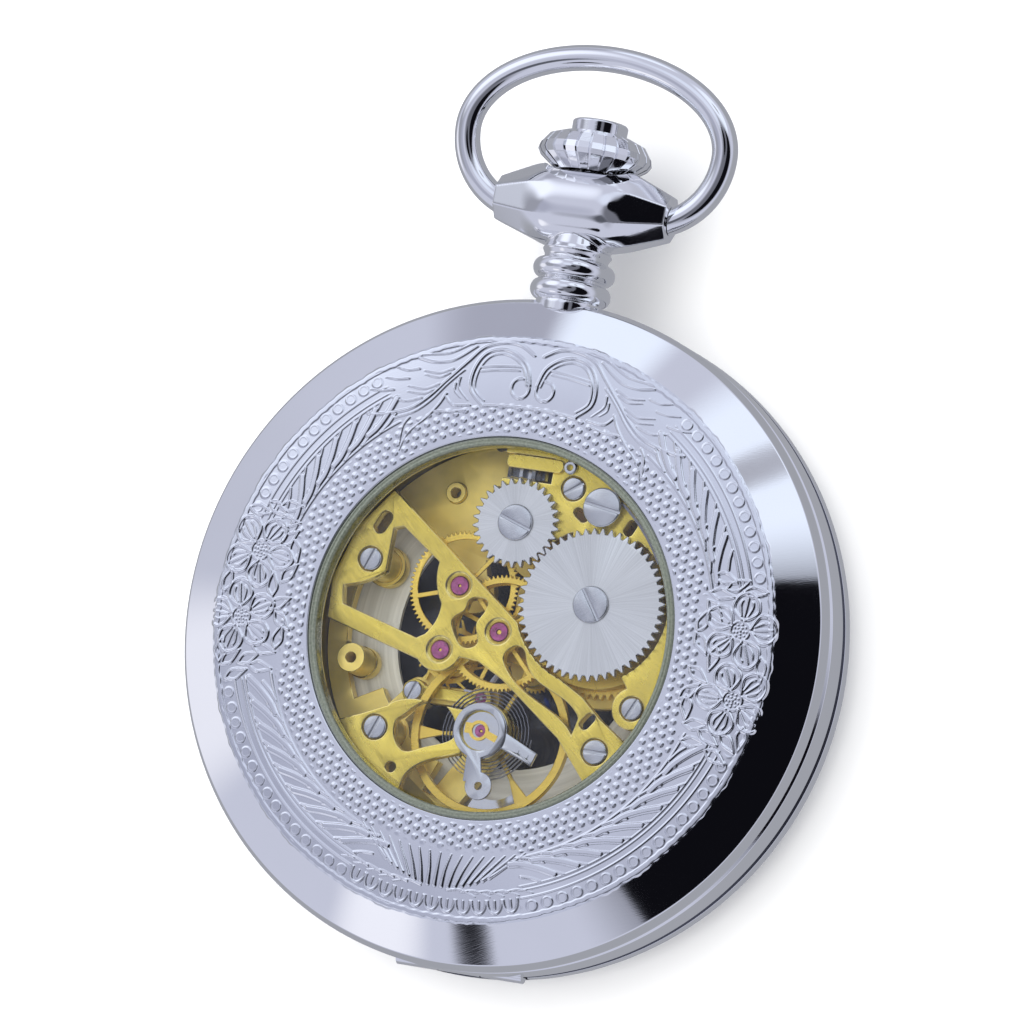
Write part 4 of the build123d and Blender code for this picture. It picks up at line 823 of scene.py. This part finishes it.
def flower(relief, angle, radius, turn):
    """Five veined petals round a centre full of seeds."""
    frame = relief.frame(angle, radius)
    centre = (0, 0)
    relief.ring(frame, centre, 0.68, 0.2, RELIEF * 1.3)
    relief.dot(frame, centre, 0.13, RELIEF * 1.3)
    for ring_r, count in ((0.24, 5), (0.46, 9)):
        for seed in range(count):
            way = seed * 360 / count
            relief.dot(frame, (ring_r * cos(way), ring_r * sin(way)), 0.1, RELIEF * 1.3)
    for index in range(5):
        petal(relief, frame, centre, turn + 72 * index, 1.9, 0.88)


# Leaves of a bouquet: degrees from its middle, radius, and the way that the leaf points
LEAVES = (
    (-17, 17.2, 70), (-18.5, 18.4, 100), (-16.5, 19.6, 80), (-13.5, 16.6, 30), (-1.6, 16.7, -10),
    (-0.8, 20.2, 10), (2.8, 15.9, 60), (14.5, 16.9, 110), (16.0, 18.1, 75), (15.2, 19.5, 60),
    (13.5, 20.3, 10), (-11.0, 15.8, 150), (-5.2, 15.7, 30), (7.5, 15.6, 140), (11.6, 15.8, 20),
    (-20.5, 17.6, 60), (18.5, 17.3, 110), (19, 19.2, 80),
)


def bouquet(relief, side):
    """Two flowers with leaves all round them, at the right or the left of the ring."""
    middle = 90 + side * FLOWER_LEAN
    flower(relief, side * (middle - 8.5), 18.4, 20 * side)
    flower(relief, side * (middle + 6.6), 18.75, 62 * side)
    for swing, radius, turn in LEAVES:
        leaf(relief, side * (middle + swing), radius, turn * side)


def scroll(relief, mirror):
    """Half of the top ornament: a C-scroll with a ring curl, its stem and its leaves."""
    frame = relief.frame(0)

    def line(points, width=STROKE, **rest):
        relief.stroke(frame, points, width + 0.03, RELIEF * 1.4, mirror, **rest)

    line([(-0.3, -1.2), (-0.7, 0.1), (-1.7, 1.0), (-2.8, 1.3), (-3.9, 0.95), (-4.75, -0.2), (-5.0, -1.5),
          (-4.2, -2.6)])
    line([(-0.55, -1.25), (-0.98, -0.05), (-1.85, 0.72), (-2.8, 0.98), (-3.7, 0.65), (-4.45, -0.35),
          (-4.68, -1.5), (-4.0, -2.35)], 0.15)
    line([(-0.35, 0.95), (-1.4, 1.62), (-2.6, 1.78), (-3.9, 1.5), (-5.05, 0.65), (-6.55, -0.3), (-8.4, -1.2),
          (-10.2, -1.5), (-12.3, -0.9), (-13.2, -0.3)], 0.24)
    line([(-5.4, 0.05), (-6.7, -0.65), (-8.3, -1.5), (-9.9, -1.85), (-11.6, -1.6)], 0.16)
    curl = [(-1.0 + 0.72 * sin(t), -1.5 + 0.72 * cos(t)) for t in range(70, 371, 25)]
    line(curl, 0.22)
    line([(-1.15, 0.05), (-4.1, 0.08)], 0.14)
    line([(-1.25, -0.22), (-4.15, -0.2)], 0.14)
    line([(-4.4, 1.65), (-5.5, 1.1), (-6.4, 0.9), (-7.5, 1.15), (-8.4, 1.75)], 0.18)
    line([(-4.9, 1.85), (-6.4, 1.5), (-8.2, 1.95)], 0.14)
    for start, middle, end in (
        ((-6.2, 0.3), (-7.3, 0.25), (-8.3, 0.75)), ((-6.5, 0.05), (-7.4, -0.05), (-8.3, 0.45)),
        ((-7.4, -0.55), (-8.6, -0.55), (-9.7, 0.1)), ((-7.7, -0.8), (-8.8, -0.85), (-9.9, -0.25)),
        ((-9.0, -1.1), (-10.3, -0.85), (-11.3, 0.0)), ((-9.5, 0.6), (-10.3, 0.9), (-11.0, 1.4)),
        ((-8.6, 1.0), (-9.4, 1.2), (-10.0, 1.7)), ((-10.8, 0.3), (-11.7, 0.7), (-12.3, 1.2)),
    ):
        line([start, middle, end], 0.19, taper=True)
    line([(-5.75, -0.4), (-5.95, -1.2), (-5.35, -2.2)], 0.18, taper=True)
    line([(-6.15, -0.75), (-6.3, -1.35), (-5.9, -1.95)], 0.15, taper=True)
    line([(-7.0, -1.35), (-7.8, -2.0), (-9.1, -2.6), (-11.0, -3.1), (-12.4, -3.9)], 0.22, taper=True)
    line([(-7.1, -1.5), (-6.6, -2.3), (-5.2, -2.55)], 0.18)
    line([(-8.3, -2.35), (-7.0, -2.75), (-5.6, -2.85)], 0.16)
    line([(-10.4, -2.1), (-11.2, -2.5), (-12.2, -3.6)], 0.17, taper=True)
    line([(-4.2, -2.72), (-1.9, -2.85), (0, -2.9)], 0.2)


def palm(relief):
    """The spray at the bottom: two rows of plumes over a row of scallops."""
    frame = relief.frame(PALM_AT)
    for index in range(-8, 9):
        lean = index * 0.115
        root = (index * 0.52, -0.15 - 0.012 * index ** 2)
        tip = (root[0] * 1.35 + 2.0 * math.sin(lean), root[1] - 2.3 * math.cos(lean))
        bend = ((root[0] + tip[0]) / 2 - 0.1 * np.sign(index), (root[1] + tip[1]) / 2)
        relief.stroke(frame, [root, bend, tip], 0.32, RELIEF * 1.5, taper=True)
    for side in (-1, 1):
        for index in range(5):
            root = (side * (1.0 + 1.05 * index), 0.05 + 0.03 * index)
            tip = (root[0] + side * 2.1, root[1] + 0.35)
            relief.stroke(frame, [root, ((root[0] + tip[0]) / 2, root[1] - 0.1), tip], 0.2, taper=True)
    for index in range(-5, 6):
        middle = index * 1.12
        arch = [(middle + 0.5 * sin(t), 0.75 + 0.85 * cos(t)) for t in range(-95, 96, 19)]
        relief.stroke(frame, arch, 0.17)
        relief.stroke(frame, [(middle, 0.7), (middle, 1.25)], 0.14)


def fringe(relief):
    """Small pointed leaves that run over the edge of the bevel."""
    count = 150
    pitch = 360 / count
    phase = (relief.angle / pitch) % 1
    ragged = np.sin(relief.angle * DEG * 23) ** 2 * np.sin(relief.angle * DEG * 7) ** 2
    lobe = 20.74 + 0.06 * np.sin(phase * math.pi) ** 2 + 0.16 * ragged
    inside = smooth_step(0.05, -0.03, relief.radius - lobe) * smooth_step(-0.42, -0.3, relief.radius - lobe)
    relief.lay(inside * RELIEF * 0.8)


def apart(angle, middle, half, edge=1.2):
    """0 within a half angle of the middle and 1 beyond it."""
    swing = np.abs((angle - middle + 180) % 360 - 180)
    return smooth_step(half, half + edge, swing)


def engrave(radius, angle):
    """Relief heights of the whole ornament."""
    relief = Relief(radius, angle)
    flower_at = 90 + FLOWER_LEAN
    flowers = apart(angle, flower_at, FLOWER_HALF) * apart(angle, 360 - flower_at, FLOWER_HALF)
    bottom = apart(angle, PALM_AT, PALM_HALF)
    top = apart(angle, 0, SCROLL_HALF)
    bands = flowers * bottom * top
    inner_edge = STIPPLE_EDGE - 0.25 * (1 - apart(angle, 0, 16, 10))
    near_flower = 1 - (1 - flowers) * smooth_step(15.3, 15.8, radius)
    near_palm = 1 - (1 - bottom) * smooth_step(15.4, 16.0, radius)
    stipple(relief, smooth_step(inner_edge + 0.1, inner_edge - 0.1, radius) * smooth_step(13.9, 14.0, radius)
            * near_flower * near_palm)
    circle_line(relief, 16.5, bands, 0.22)
    circle_line(relief, 18.5, bands, 0.15)
    circle_line(relief, 18.78, bands, 0.13)
    circle_line(relief, 19.3, bands, 0.17)
    circle_line(relief, 20.5, np.maximum(bands, 0.8), 0.15)
    beads(relief, bands)
    fringe(relief)
    for mirror in (False, True):
        scroll(relief, mirror)
    palm(relief)
    bouquet(relief, 1)
    bouquet(relief, -1)
    for first, last in ((38, 70), (114, 161)):
        for angle_here in np.arange(first, last, 5.6):
            feather(relief, angle_here, False)
            feather(relief, -angle_here, True)
    return relief.height * smooth_step(FADE[1], FADE[0], radius)


def dome(radius):
    """Height of the plain cover face."""
    (edge, edge_z), (low, low_z) = BEVEL
    bowl = TOP_Z - DOME_DROP * np.clip((radius - DOME_START) / (edge - DOME_START), 0, 1) ** 2
    slope = edge_z + (radius - edge) * (low_z - edge_z) / (low - edge)
    return np.where(radius > edge, slope, bowl)


def engraved_cover():
    """The back cover: worked ring, polished bevel, stepped rim and the plain inside."""
    join_r, hole_r = 21.2, WINDOW_R + 0.03     # where the worked grid meets the turned shell
    seat_z, lip_z, lip_r = 10.03, 9.8, 13.0    # seat of the gasket and the lip below it
    snap_r, seam_z = 22.32, 7.7                # wall that snaps into the band, and its seam
    ring_r = np.linspace(join_r, hole_r, 158)
    outside = [
        (hole_r, seat_z), (lip_r, seat_z), (lip_r, lip_z), (lip_r + 0.3, lip_z), (lip_r + 0.3, 10.0),
        (20.0, 9.95), (join_r, 9.35), (snap_r, 8.6), (snap_r, seam_z), (SEAM_R, seam_z), (CASE_R, 8.02),
        (CASE_R, 8.35), (23.65, 9.06), BEVEL[1], (join_r, float(dome(np.array(join_r)))),
    ]
    shell = rounded(outside, 0.09)
    shell_points = lathe_points(shell, COLUMNS)
    angle = np.arange(COLUMNS) * 360 / COLUMNS
    radius_grid, angle_grid = np.meshgrid(ring_r[1:], angle, indexing="ij")
    z = dome(radius_grid) + engrave(radius_grid, angle_grid)
    x, y = radius_grid * np.sin(angle_grid * DEG), radius_grid * np.cos(angle_grid * DEG)
    ring_points = as_points(x, y, z)
    rows = len(shell) + len(ring_r) - 1
    faces = grid_faces(rows, COLUMNS)
    closing = np.array(grid_faces(2, COLUMNS))
    closing = np.where(closing < COLUMNS, closing + (rows - 1) * COLUMNS, closing - COLUMNS)
    faces = np.vstack([faces, closing])
    points = np.vstack([shell_points, ring_points])
    radius = np.hypot(points[faces[:, 0], 0], points[faces[:, 0], 1])
    top = points[faces[:, 0], 2] > 10.5
    worked = ((radius < 20.95) & (radius > WINDOW_R) & top).astype(np.int32)
    mesh_piece("engraved_cover", points, faces.tolist(), "case", [CHROME, CHROME_ENGRAVED],
               replaces=["back_cover"], face_materials=worked)


# ================================================================ case shells, turned
BAND = (4.5, 7.6)         # seam planes of the band
HINGE_AT = (0, -23.35, 4.45)
KNUCKLE_R, KNUCKLE_LENGTH, KNUCKLE_PITCH = 0.6, 3.1, 3.2
HINGE_CUT = 9.8           # length of the notch that the three knuckles lie in
ACROSS, UP_STEM = (1, 0, 0), (0, 1, 0)
CASE_SEGMENTS = 480       # points round the band, lid, bezel and crystals


def closed_lathe(name, profile, material, cad, ease=0.07, cuts=(), adds=()):
    """A ring turned from a closed profile, then carved, in place of a CAD node."""
    profile = rounded([*profile, profile[0]], ease)
    points = lathe_points(profile, CASE_SEGMENTS)
    faces = grid_faces(len(profile), CASE_SEGMENTS)
    piece = mesh_piece(name, points, faces, nodes[cad]["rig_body"], [material], replaces=[cad])
    carve(piece, cuts)
    if adds:
        carve(piece, adds, "UNION")
    return piece


def repaint(piece, material, wanted):
    """Give a second material to the faces whose centre and normal (in mm) pass a test."""
    piece.data.materials.append(material)
    for face in piece.data.polygons:
        if wanted(face.center / MM, face.normal):
            face.material_index = len(piece.data.materials) - 1


def knuckle(x, leaf_rise):
    """A hinge knuckle and the leaf that joins it to its shell, above or below the hinge axis."""
    leaf_at = (x, HINGE_AT[1] + 0.35, HINGE_AT[2] + leaf_rise)
    barrel = drum((x, *HINGE_AT[1:]), ACROSS, KNUCKLE_R, KNUCKLE_LENGTH)
    return [barrel, block(leaf_at, (KNUCKLE_LENGTH, 0.9, 1.3))]


def turned_case():
    """Band, front lid and front bezel at full roundness, with the hinge at 6 o'clock."""
    notch = drum(HINGE_AT, ACROSS, 1.15, HINGE_CUT)
    neck_seat = drum((0, 24.2, NECK_Z), UP_STEM, 2.37, 2.1)
    stem_hole = drum((0, 22.6, NECK_Z), UP_STEM, 1.25, 4.2)
    catch_slot = block((0, 21.95, 6), (3.6, 1.3, 6))
    closed_lathe(
        "band",
        [(20.8, 3.7), (21.6, 3.7), (21.6, BAND[0]), (SEAM_R, BAND[0]), (CASE_R, BAND[0] + 0.35),
         (CASE_R, BAND[1] - 0.35), (SEAM_R, BAND[1]), (22.3, BAND[1]), (22.3, 8.3), (21.6, 8.3), (21.6, 7.5),
         (20.8, 7.5)],
        CHROME, "case_middle", cuts=[notch, neck_seat, stem_hole, catch_slot],
        adds=[*knuckle(-KNUCKLE_PITCH, 0.75), *knuckle(KNUCKLE_PITCH, 0.75)],
    )
    lid = closed_lathe(
        "lid",
        [(0.02, 0), (13.0, 0), (17.6, 0.12), (20.8, 0.5), (22.95, 1.9), (23.45, 2.3), (CASE_R, 3.1),
         (CASE_R, 4.05), (SEAM_R, 4.4), (22.65, 4.4), (22.65, 2.75), (21.6, 1.7), (20.3, 1.25), (13.0, 0.8),
         (0.02, 0.8)],
        CHROME, "front_lid", cuts=[drum(HINGE_AT, ACROSS, 1.0, HINGE_CUT)],
        adds=knuckle(0, -0.8),
    )
    repaint(lid, CHROME_INSIDE, lambda at, out: out.z > 0.7 and at.z > 0.6)
    closed_lathe(
        "bezel",
        [(18.9, 2.35), (19.42, 2.35), (19.42, 1.75), (20.9, 1.75), (22.3, 3.0), (22.3, 4.42), (21.62, 4.42),
         (21.62, 3.68), (18.9, 3.68)],
        CHROME, "front_bezel", cuts=[block((0, 22.3, 3.0), (3.9, 2.0, 4))],
    )


def window():
    """The gasket, round-topped with a fine groove, and the two crystals."""
    closed_lathe(
        "gasket",
        [(13.0, 10.06), (13.6, 10.06), (13.6, 11.02), (13.5, 11.16), (13.42, 11.2), (13.34, 11.12),
         (13.27, 11.18), (13.16, 11.19), (13.05, 11.08), (13.0, 10.95)],
        RUBBER, "crystal_gasket", ease=0.04,
    )
    closed_lathe(
        "window_glass",
        [(0.02, 10.1), (12.96, 10.1), (12.96, 10.83), (12.84, 10.95), (0.02, 10.95)],
        GLASS, "back_crystal", ease=0.03,
    )
    closed_lathe(
        "front_glass",
        [(0.02, 1.45), (19.2, 1.45), (19.4, 1.65), (19.4, 2.33), (0.02, 2.33)],
        GLASS, "front_crystal", ease=0.03,
    )


# ================================================================ bow, crown and button
BARREL_Y = 31.0
BOW_R, BOW_HALF_WIDTH, BOW_RISE, BOW_WAIST = 0.93, 9.75, 10.8, 4.8
BOW_TUCK_R, BOW_TUCK, BOW_SWING = 5.4, 65.0, 5.0
PIN_R, PIN_X = 0.72, 6.4
BOW_CLEAR = 6.54          # the wire's ends are cut flat just outside the barrel


def bow_path():
    """Centre line of the bow in its own plane: tucked ends joined by half an ellipse."""
    tuck_x = BOW_HALF_WIDTH - BOW_TUCK_R
    rise = BOW_RISE - BOW_WAIST
    right = [(tuck_x + BOW_TUCK_R * cos(t), BOW_WAIST + BOW_TUCK_R * sin(t))
             for t in np.linspace(-BOW_TUCK, 0, 40)[:-1]]
    top = [(BOW_HALF_WIDTH * cos(t), BOW_WAIST + rise * sin(t))
           for t in np.linspace(0, 180, 160)]
    way = (sin(BOW_TUCK), cos(BOW_TUCK))
    right = [(right[0][0] - way[0] * step, right[0][1] - way[1] * step) for step in (1.1, 0.4)] + right
    left = [(-x, y) for x, y in reversed(right)]
    return np.array(right + top + left)


def bow():
    """Round wire swept along the path, cut flat beside the barrel, on two pins."""
    path = bow_path()
    ahead = np.gradient(path, axis=0)
    ahead /= np.linalg.norm(ahead, axis=1)[:, None]
    sides = 40
    turn = full_turn(sides)
    reach, lift = BOW_R * np.cos(turn), BOW_R * np.sin(turn)
    u = path[:, :1] + ahead[:, 1:] * reach
    v = path[:, 1:] - ahead[:, :1] * reach
    w = np.repeat(lift[None, :], len(path), axis=0)
    y = BARREL_Y + v * cos(BOW_SWING) - w * sin(BOW_SWING)
    z = NECK_Z + v * sin(BOW_SWING) + w * cos(BOW_SWING)
    faces = capped_faces(len(path), sides)
    piece = mesh_piece("bow_wire", as_points(u, y, z), faces, "bow", [CHROME], replaces=["bow"])
    carve(piece, [block((0, BARREL_Y, NECK_Z), (2 * BOW_CLEAR, 6, 6))])
    pins = [drum((side * PIN_X, BARREL_Y, NECK_Z), ACROSS, PIN_R, 2.0) for side in (-1, 1)]
    carve(piece, pins, "UNION")


CROWN_FOOT, CROWN_TOP, CROWN_WIDE = 33.45, 36.3, 4.1
CROWN_RIDGES, CROWN_GROOVE = 26, 0.26
POCKET_R, POCKET_FLOOR = 2.05, 34.7
TUBE_END, TUBE_R, TUBE_BORE = 21.6, 0.75, 0.36


def crown():
    """Onion crown: broad faceted ridges round a pocket for the button, on a tube."""
    # Radius, height along the stem, and how deep the grooves between the ridges are cut
    rows = [
        (TUBE_BORE, TUBE_END, 0), (TUBE_R, TUBE_END, 0), (TUBE_R, CROWN_FOOT, 0), (2.6, CROWN_FOOT, 0),
        (3.9, CROWN_FOOT + 0.95, 1), (CROWN_WIDE, CROWN_FOOT + 1.3, 1), (4.0, CROWN_FOOT + 1.75, 1),
        (3.5, CROWN_TOP - 0.4, 1), (2.5, CROWN_TOP, 0.3), (2.2, CROWN_TOP, 0),
        (POCKET_R, CROWN_TOP - 0.12, 0), (POCKET_R, POCKET_FLOOR, 0), (TUBE_BORE, POCKET_FLOOR, 0),
        (TUBE_BORE, TUBE_END, 0),
    ]
    pitch = 360 / CROWN_RIDGES
    shares = ((0.0, 0), (0.08, 1), (0.84, 1), (0.92, 0))
    angles = [(index + share) * pitch for index in range(CROWN_RIDGES) for share, _ in shares]
    raised = [up for _ in range(CROWN_RIDGES) for _, up in shares]
    points = []
    for radius, y, depth in rows:
        for angle, up in zip(angles, raised):
            reach = radius - CROWN_GROOVE * depth * (1 - up)
            points.append((reach * sin(angle), y, NECK_Z + reach * cos(angle)))
    faces = grid_faces(len(rows), len(angles))
    mesh_piece("crown_onion", points, faces, "crown", [CROWN_METAL], replaces=["crown"],
               smooth=False)


def stem_lathe(rows, segments):
    """Points of (radius, y) rows turned about the stem axis."""
    turn = full_turn(segments)
    rows = np.array(rows, float)
    x = rows[:, :1] * np.sin(turn)
    y = np.repeat(rows[:, 1:], segments, axis=1)
    z = NECK_Z + rows[:, :1] * np.cos(turn)
    return as_points(x, y, z)


def button():
    """The push button in the crown, on the pin that reaches the catch."""
    rows = [(0.01, 22.4), (0.3, 22.4), (0.3, 35.85), (1.97, 35.85), (2.0, 37.15), (1.86, 37.28), (0.01, 37.3)]
    rows = rounded(rows, 0.08)
    segments = 96
    faces = grid_faces(len(rows), segments)
    mesh_piece("button", stem_lathe(rows, segments), faces, "release_button", [CROWN_METAL],
               replaces=["release_button"])


# ================================================================ pendant
BARREL_HALF, BARREL_END_R = 6.5, 1.62
BARREL_HIGH, BARREL_DEEP = 3.0, 2.85      # half sizes of the barrel's middle, along the stem and across it
SHOULDER = 0.28           # softness of the turn from the barrel's middle to its tapering ends
SADDLE_Y, SADDLE_DEPTH = 33.35, 1.3       # the seat for the crown
NECK_BEADS = ((24.85, 2.9), (26.4, 2.95))     # place along the stem and radius of each bead
NECK_CORE, BEAD_HALF = 2.3, 0.72


def taper(reach, full, high):
    """Half size of the barrel: full out to one place, then over a soft shoulder straight to its end."""
    past = np.logaddexp(0, (reach - full) / SHOULDER) * SHOULDER
    end = np.logaddexp(0, (BARREL_HALF - full) / SHOULDER) * SHOULDER
    return high + (BARREL_END_R - high) * past / end


def barrel_sections():
    """Cross sections of the barrel: round in the middle, eight-sided towards the ends."""
    x = np.linspace(-BARREL_HALF, BARREL_HALF, 160)
    turn = full_turn(144)
    reach = np.abs(x)[:, None]
    half_y = np.where(np.sin(turn) > 0, taper(reach, 3.3, BARREL_HIGH), taper(reach, 2.6, BARREL_HIGH))
    half_z = taper(reach, 2.4, BARREL_DEEP)
    flat = smooth_step(2.2, 4.2, reach)
    eighth = math.pi / 4
    fold = (turn + eighth / 2) % eighth - eighth / 2
    facet = math.cos(eighth / 2) / np.cos(fold)
    shape = 1 + flat * (facet * 1.05 - 1) + 0.02 * (1 - flat) * np.sin(2 * turn) ** 2
    return x, half_y * np.sin(turn) * shape, half_z * np.cos(turn) * shape


def neck():
    """Closed bmesh of the beaded neck."""
    rows = [(0.01, 23.2), (2.35, 23.2), (2.35, 23.9)]
    for middle, radius in NECK_BEADS:
        swell = radius - NECK_CORE
        rows += [(NECK_CORE + swell * cos(t), middle + BEAD_HALF * sin(t))
                 for t in range(-90, 91, 15)]
    rows += [(2.28, 27.35), (2.5, 27.75), (2.3, 28.1), (2.05, 28.9), (1.9, 30.0), (0.01, 30.0)]
    segments = 128
    mesh = bmesh.new()
    made = [mesh.verts.new(point) for point in (stem_lathe(rows, segments) * MM).tolist()]
    for quad in grid_faces(len(rows), segments):
        mesh.faces.new([made[index] for index in quad])
    bmesh.ops.holes_fill(mesh, edges=mesh.edges, sides=segments)
    bmesh.ops.recalc_face_normals(mesh, faces=mesh.faces)
    return mesh


def saddle():
    """Cone that cuts the seat for the crown."""
    mesh = bmesh.new()
    place = Matrix.Translation(Vector((0, SADDLE_Y + SADDLE_DEPTH / 2, NECK_Z)) * MM)
    bmesh.ops.create_cone(mesh, cap_ends=True, segments=96, radius1=2.72 * MM, radius2=4.45 * MM,
                          depth=SADDLE_DEPTH * MM, matrix=place @ Matrix.Rotation(-90 * DEG, 4, "X"))
    return mesh


def pendant():
    """Faceted barrel on a beaded neck, hollowed for the crown, its tube and the bow's pins."""
    x, y, z = barrel_sections()
    sides = y.shape[1]
    x = np.repeat(x[:, None], sides, axis=1)
    points = as_points(x, BARREL_Y + y, NECK_Z + z)
    body = mesh_piece("pendant_body", points, capped_faces(len(x), sides), "case", [CHROME],
                      replaces=["pendant"])
    carve(body, [neck()], "UNION")
    bores = [drum((side * 7.1, BARREL_Y, NECK_Z), ACROSS, 0.75, 2.4) for side in (-1, 1)]
    tube = [drum((0, 29.0, NECK_Z), UP_STEM, 0.8, 12.0), drum((0, 24.0, NECK_Z), UP_STEM, 1.2, 2.0)]
    carve(body, [saddle(), *bores, *tube])
    melt(body)


# ================================================================ movement pieces with worked edges
SLAB_AT, SLAB_SIZE = (0.6, 12.15, 9.42), (4.3, 0.95, 0.28)
BORED_PIN_AT = (3.2, 12.2, 9.35)


def dress(material, *names):
    """Give CAD nodes that keep their shape a finish."""
    for name in names:
        piece = nodes[name]
        piece.data.materials.clear()
        piece.data.materials.append(material)


def pinion_cover():
    """The slab over the winding pinion."""
    mesh = block(SLAB_AT, SLAB_SIZE)
    upright = [line for line in mesh.edges if abs(line.verts[0].co.z - line.verts[1].co.z) > WELD * MM]
    bmesh.ops.bevel(mesh, geom=upright, offset=0.4 * MM, segments=6, profile=0.5, affect="EDGES")
    break_edges(mesh, sharp_edges(mesh, 60), 0.06, 2)
    data = bpy.data.meshes.new("pinion_cover")
    mesh.to_mesh(data)
    mesh.free()
    add_piece("pinion_cover", data, [GOLD_BRUSHED, GOLD_EDGE], "case")


def bored_pin():
    """The hollow steel pin beside the slab."""
    outer, bore = 0.5, 0.2
    pin = [(bore, -0.3), (outer, -0.3), (outer, 0.1), (0.42, 0.2), (0.24, 0.2), (bore, 0.14)]
    pin = rounded([*pin, pin[0]], 0.03)
    points = lathe_points(pin, 64) + np.array(BORED_PIN_AT)
    faces = grid_faces(len(pin), 64)
    mesh_piece("bored_pin", points, faces, "case", [STEEL_POLISHED])


def movement():
    """Bridges, wheels, steelwork and screws with broken edges, then the nodes that keep their CAD shape."""
    for bridge in ("barrel_bridge", "train_bridge", "balance_cock"):
        chamfered(bridge, GOLD_BRUSHED, GOLD_EDGE, 0.08)
    chamfered("pallet_cock", GOLD_BRUSHED, GOLD_EDGE, 0.05)
    chamfered("main_plate", GOLD_FROSTED, GOLD_EDGE, 0.05)
    for wheel in ("crown_wheel", "ratchet_wheel"):
        finish = sunray("steel_" + wheel, STEEL, 0.28, centre_of(wheel))
        chamfered(wheel, finish, STEEL_EDGE, 0.04, segments=1)
    for wheel in ("barrel", "centre_wheel", "third_wheel", "fourth_wheel", "balance_wheel"):
        chamfered(wheel, GOLD_WHEEL, GOLD_EDGE, 0.025, segments=1)
    for part in ("regulator", "stud_carrier"):
        chamfered(part, STEEL_POLISHED, STEEL_EDGE, 0.04, shortest=0.13)
    for screw in ("bridge_screws", "crown_wheel_screw", "ratchet_screw", "click_screw", "case_screws"):
        chamfered(screw, STEEL_SCREW, STEEL_EDGE, 0.022)
    pinion_cover()
    bored_pin()
    dress(CHROME, "lid_hinge_pin")
    dress(SPRING_STEEL, "catch_spring", "lift_spring", "button_spring", "lid_catch", "click_spring",
          "mainspring", "hairspring")
    # the ring's dark colour is painted shade
    dress(RING_PAINTED_SHADE, "movement_ring")
    dress(STEEL_SCREW, "setting_lever_screw")
    dress(STEEL_BRUSHED, "winding_pinion", "sliding_pinion", "winding_stem", "barrel_arbor", "click",
          "setting_lever", "yoke", "pallet_fork", "cannon_pinion")
    dress(GOLD_WHEEL, "escape_wheel", "minute_wheel", "hour_wheel", "shock_spring")
    dress(STEEL_POLISHED, "shock_setting", "index_plate")
    dress(RUBY, "pivot_jewels")
    dress(DIAL_PAINT, "dial")
    dress(BLUED, "hour_hand", "minute_hand", "second_hand")


# ================================================================ the whole picture
bpy.context.scene.view_settings.view_transform = "Standard"
add_camera()
add_floor()
add_studio()
engraved_cover()
turned_case()
window()
bow()
crown()
button()
pendant()
movement()
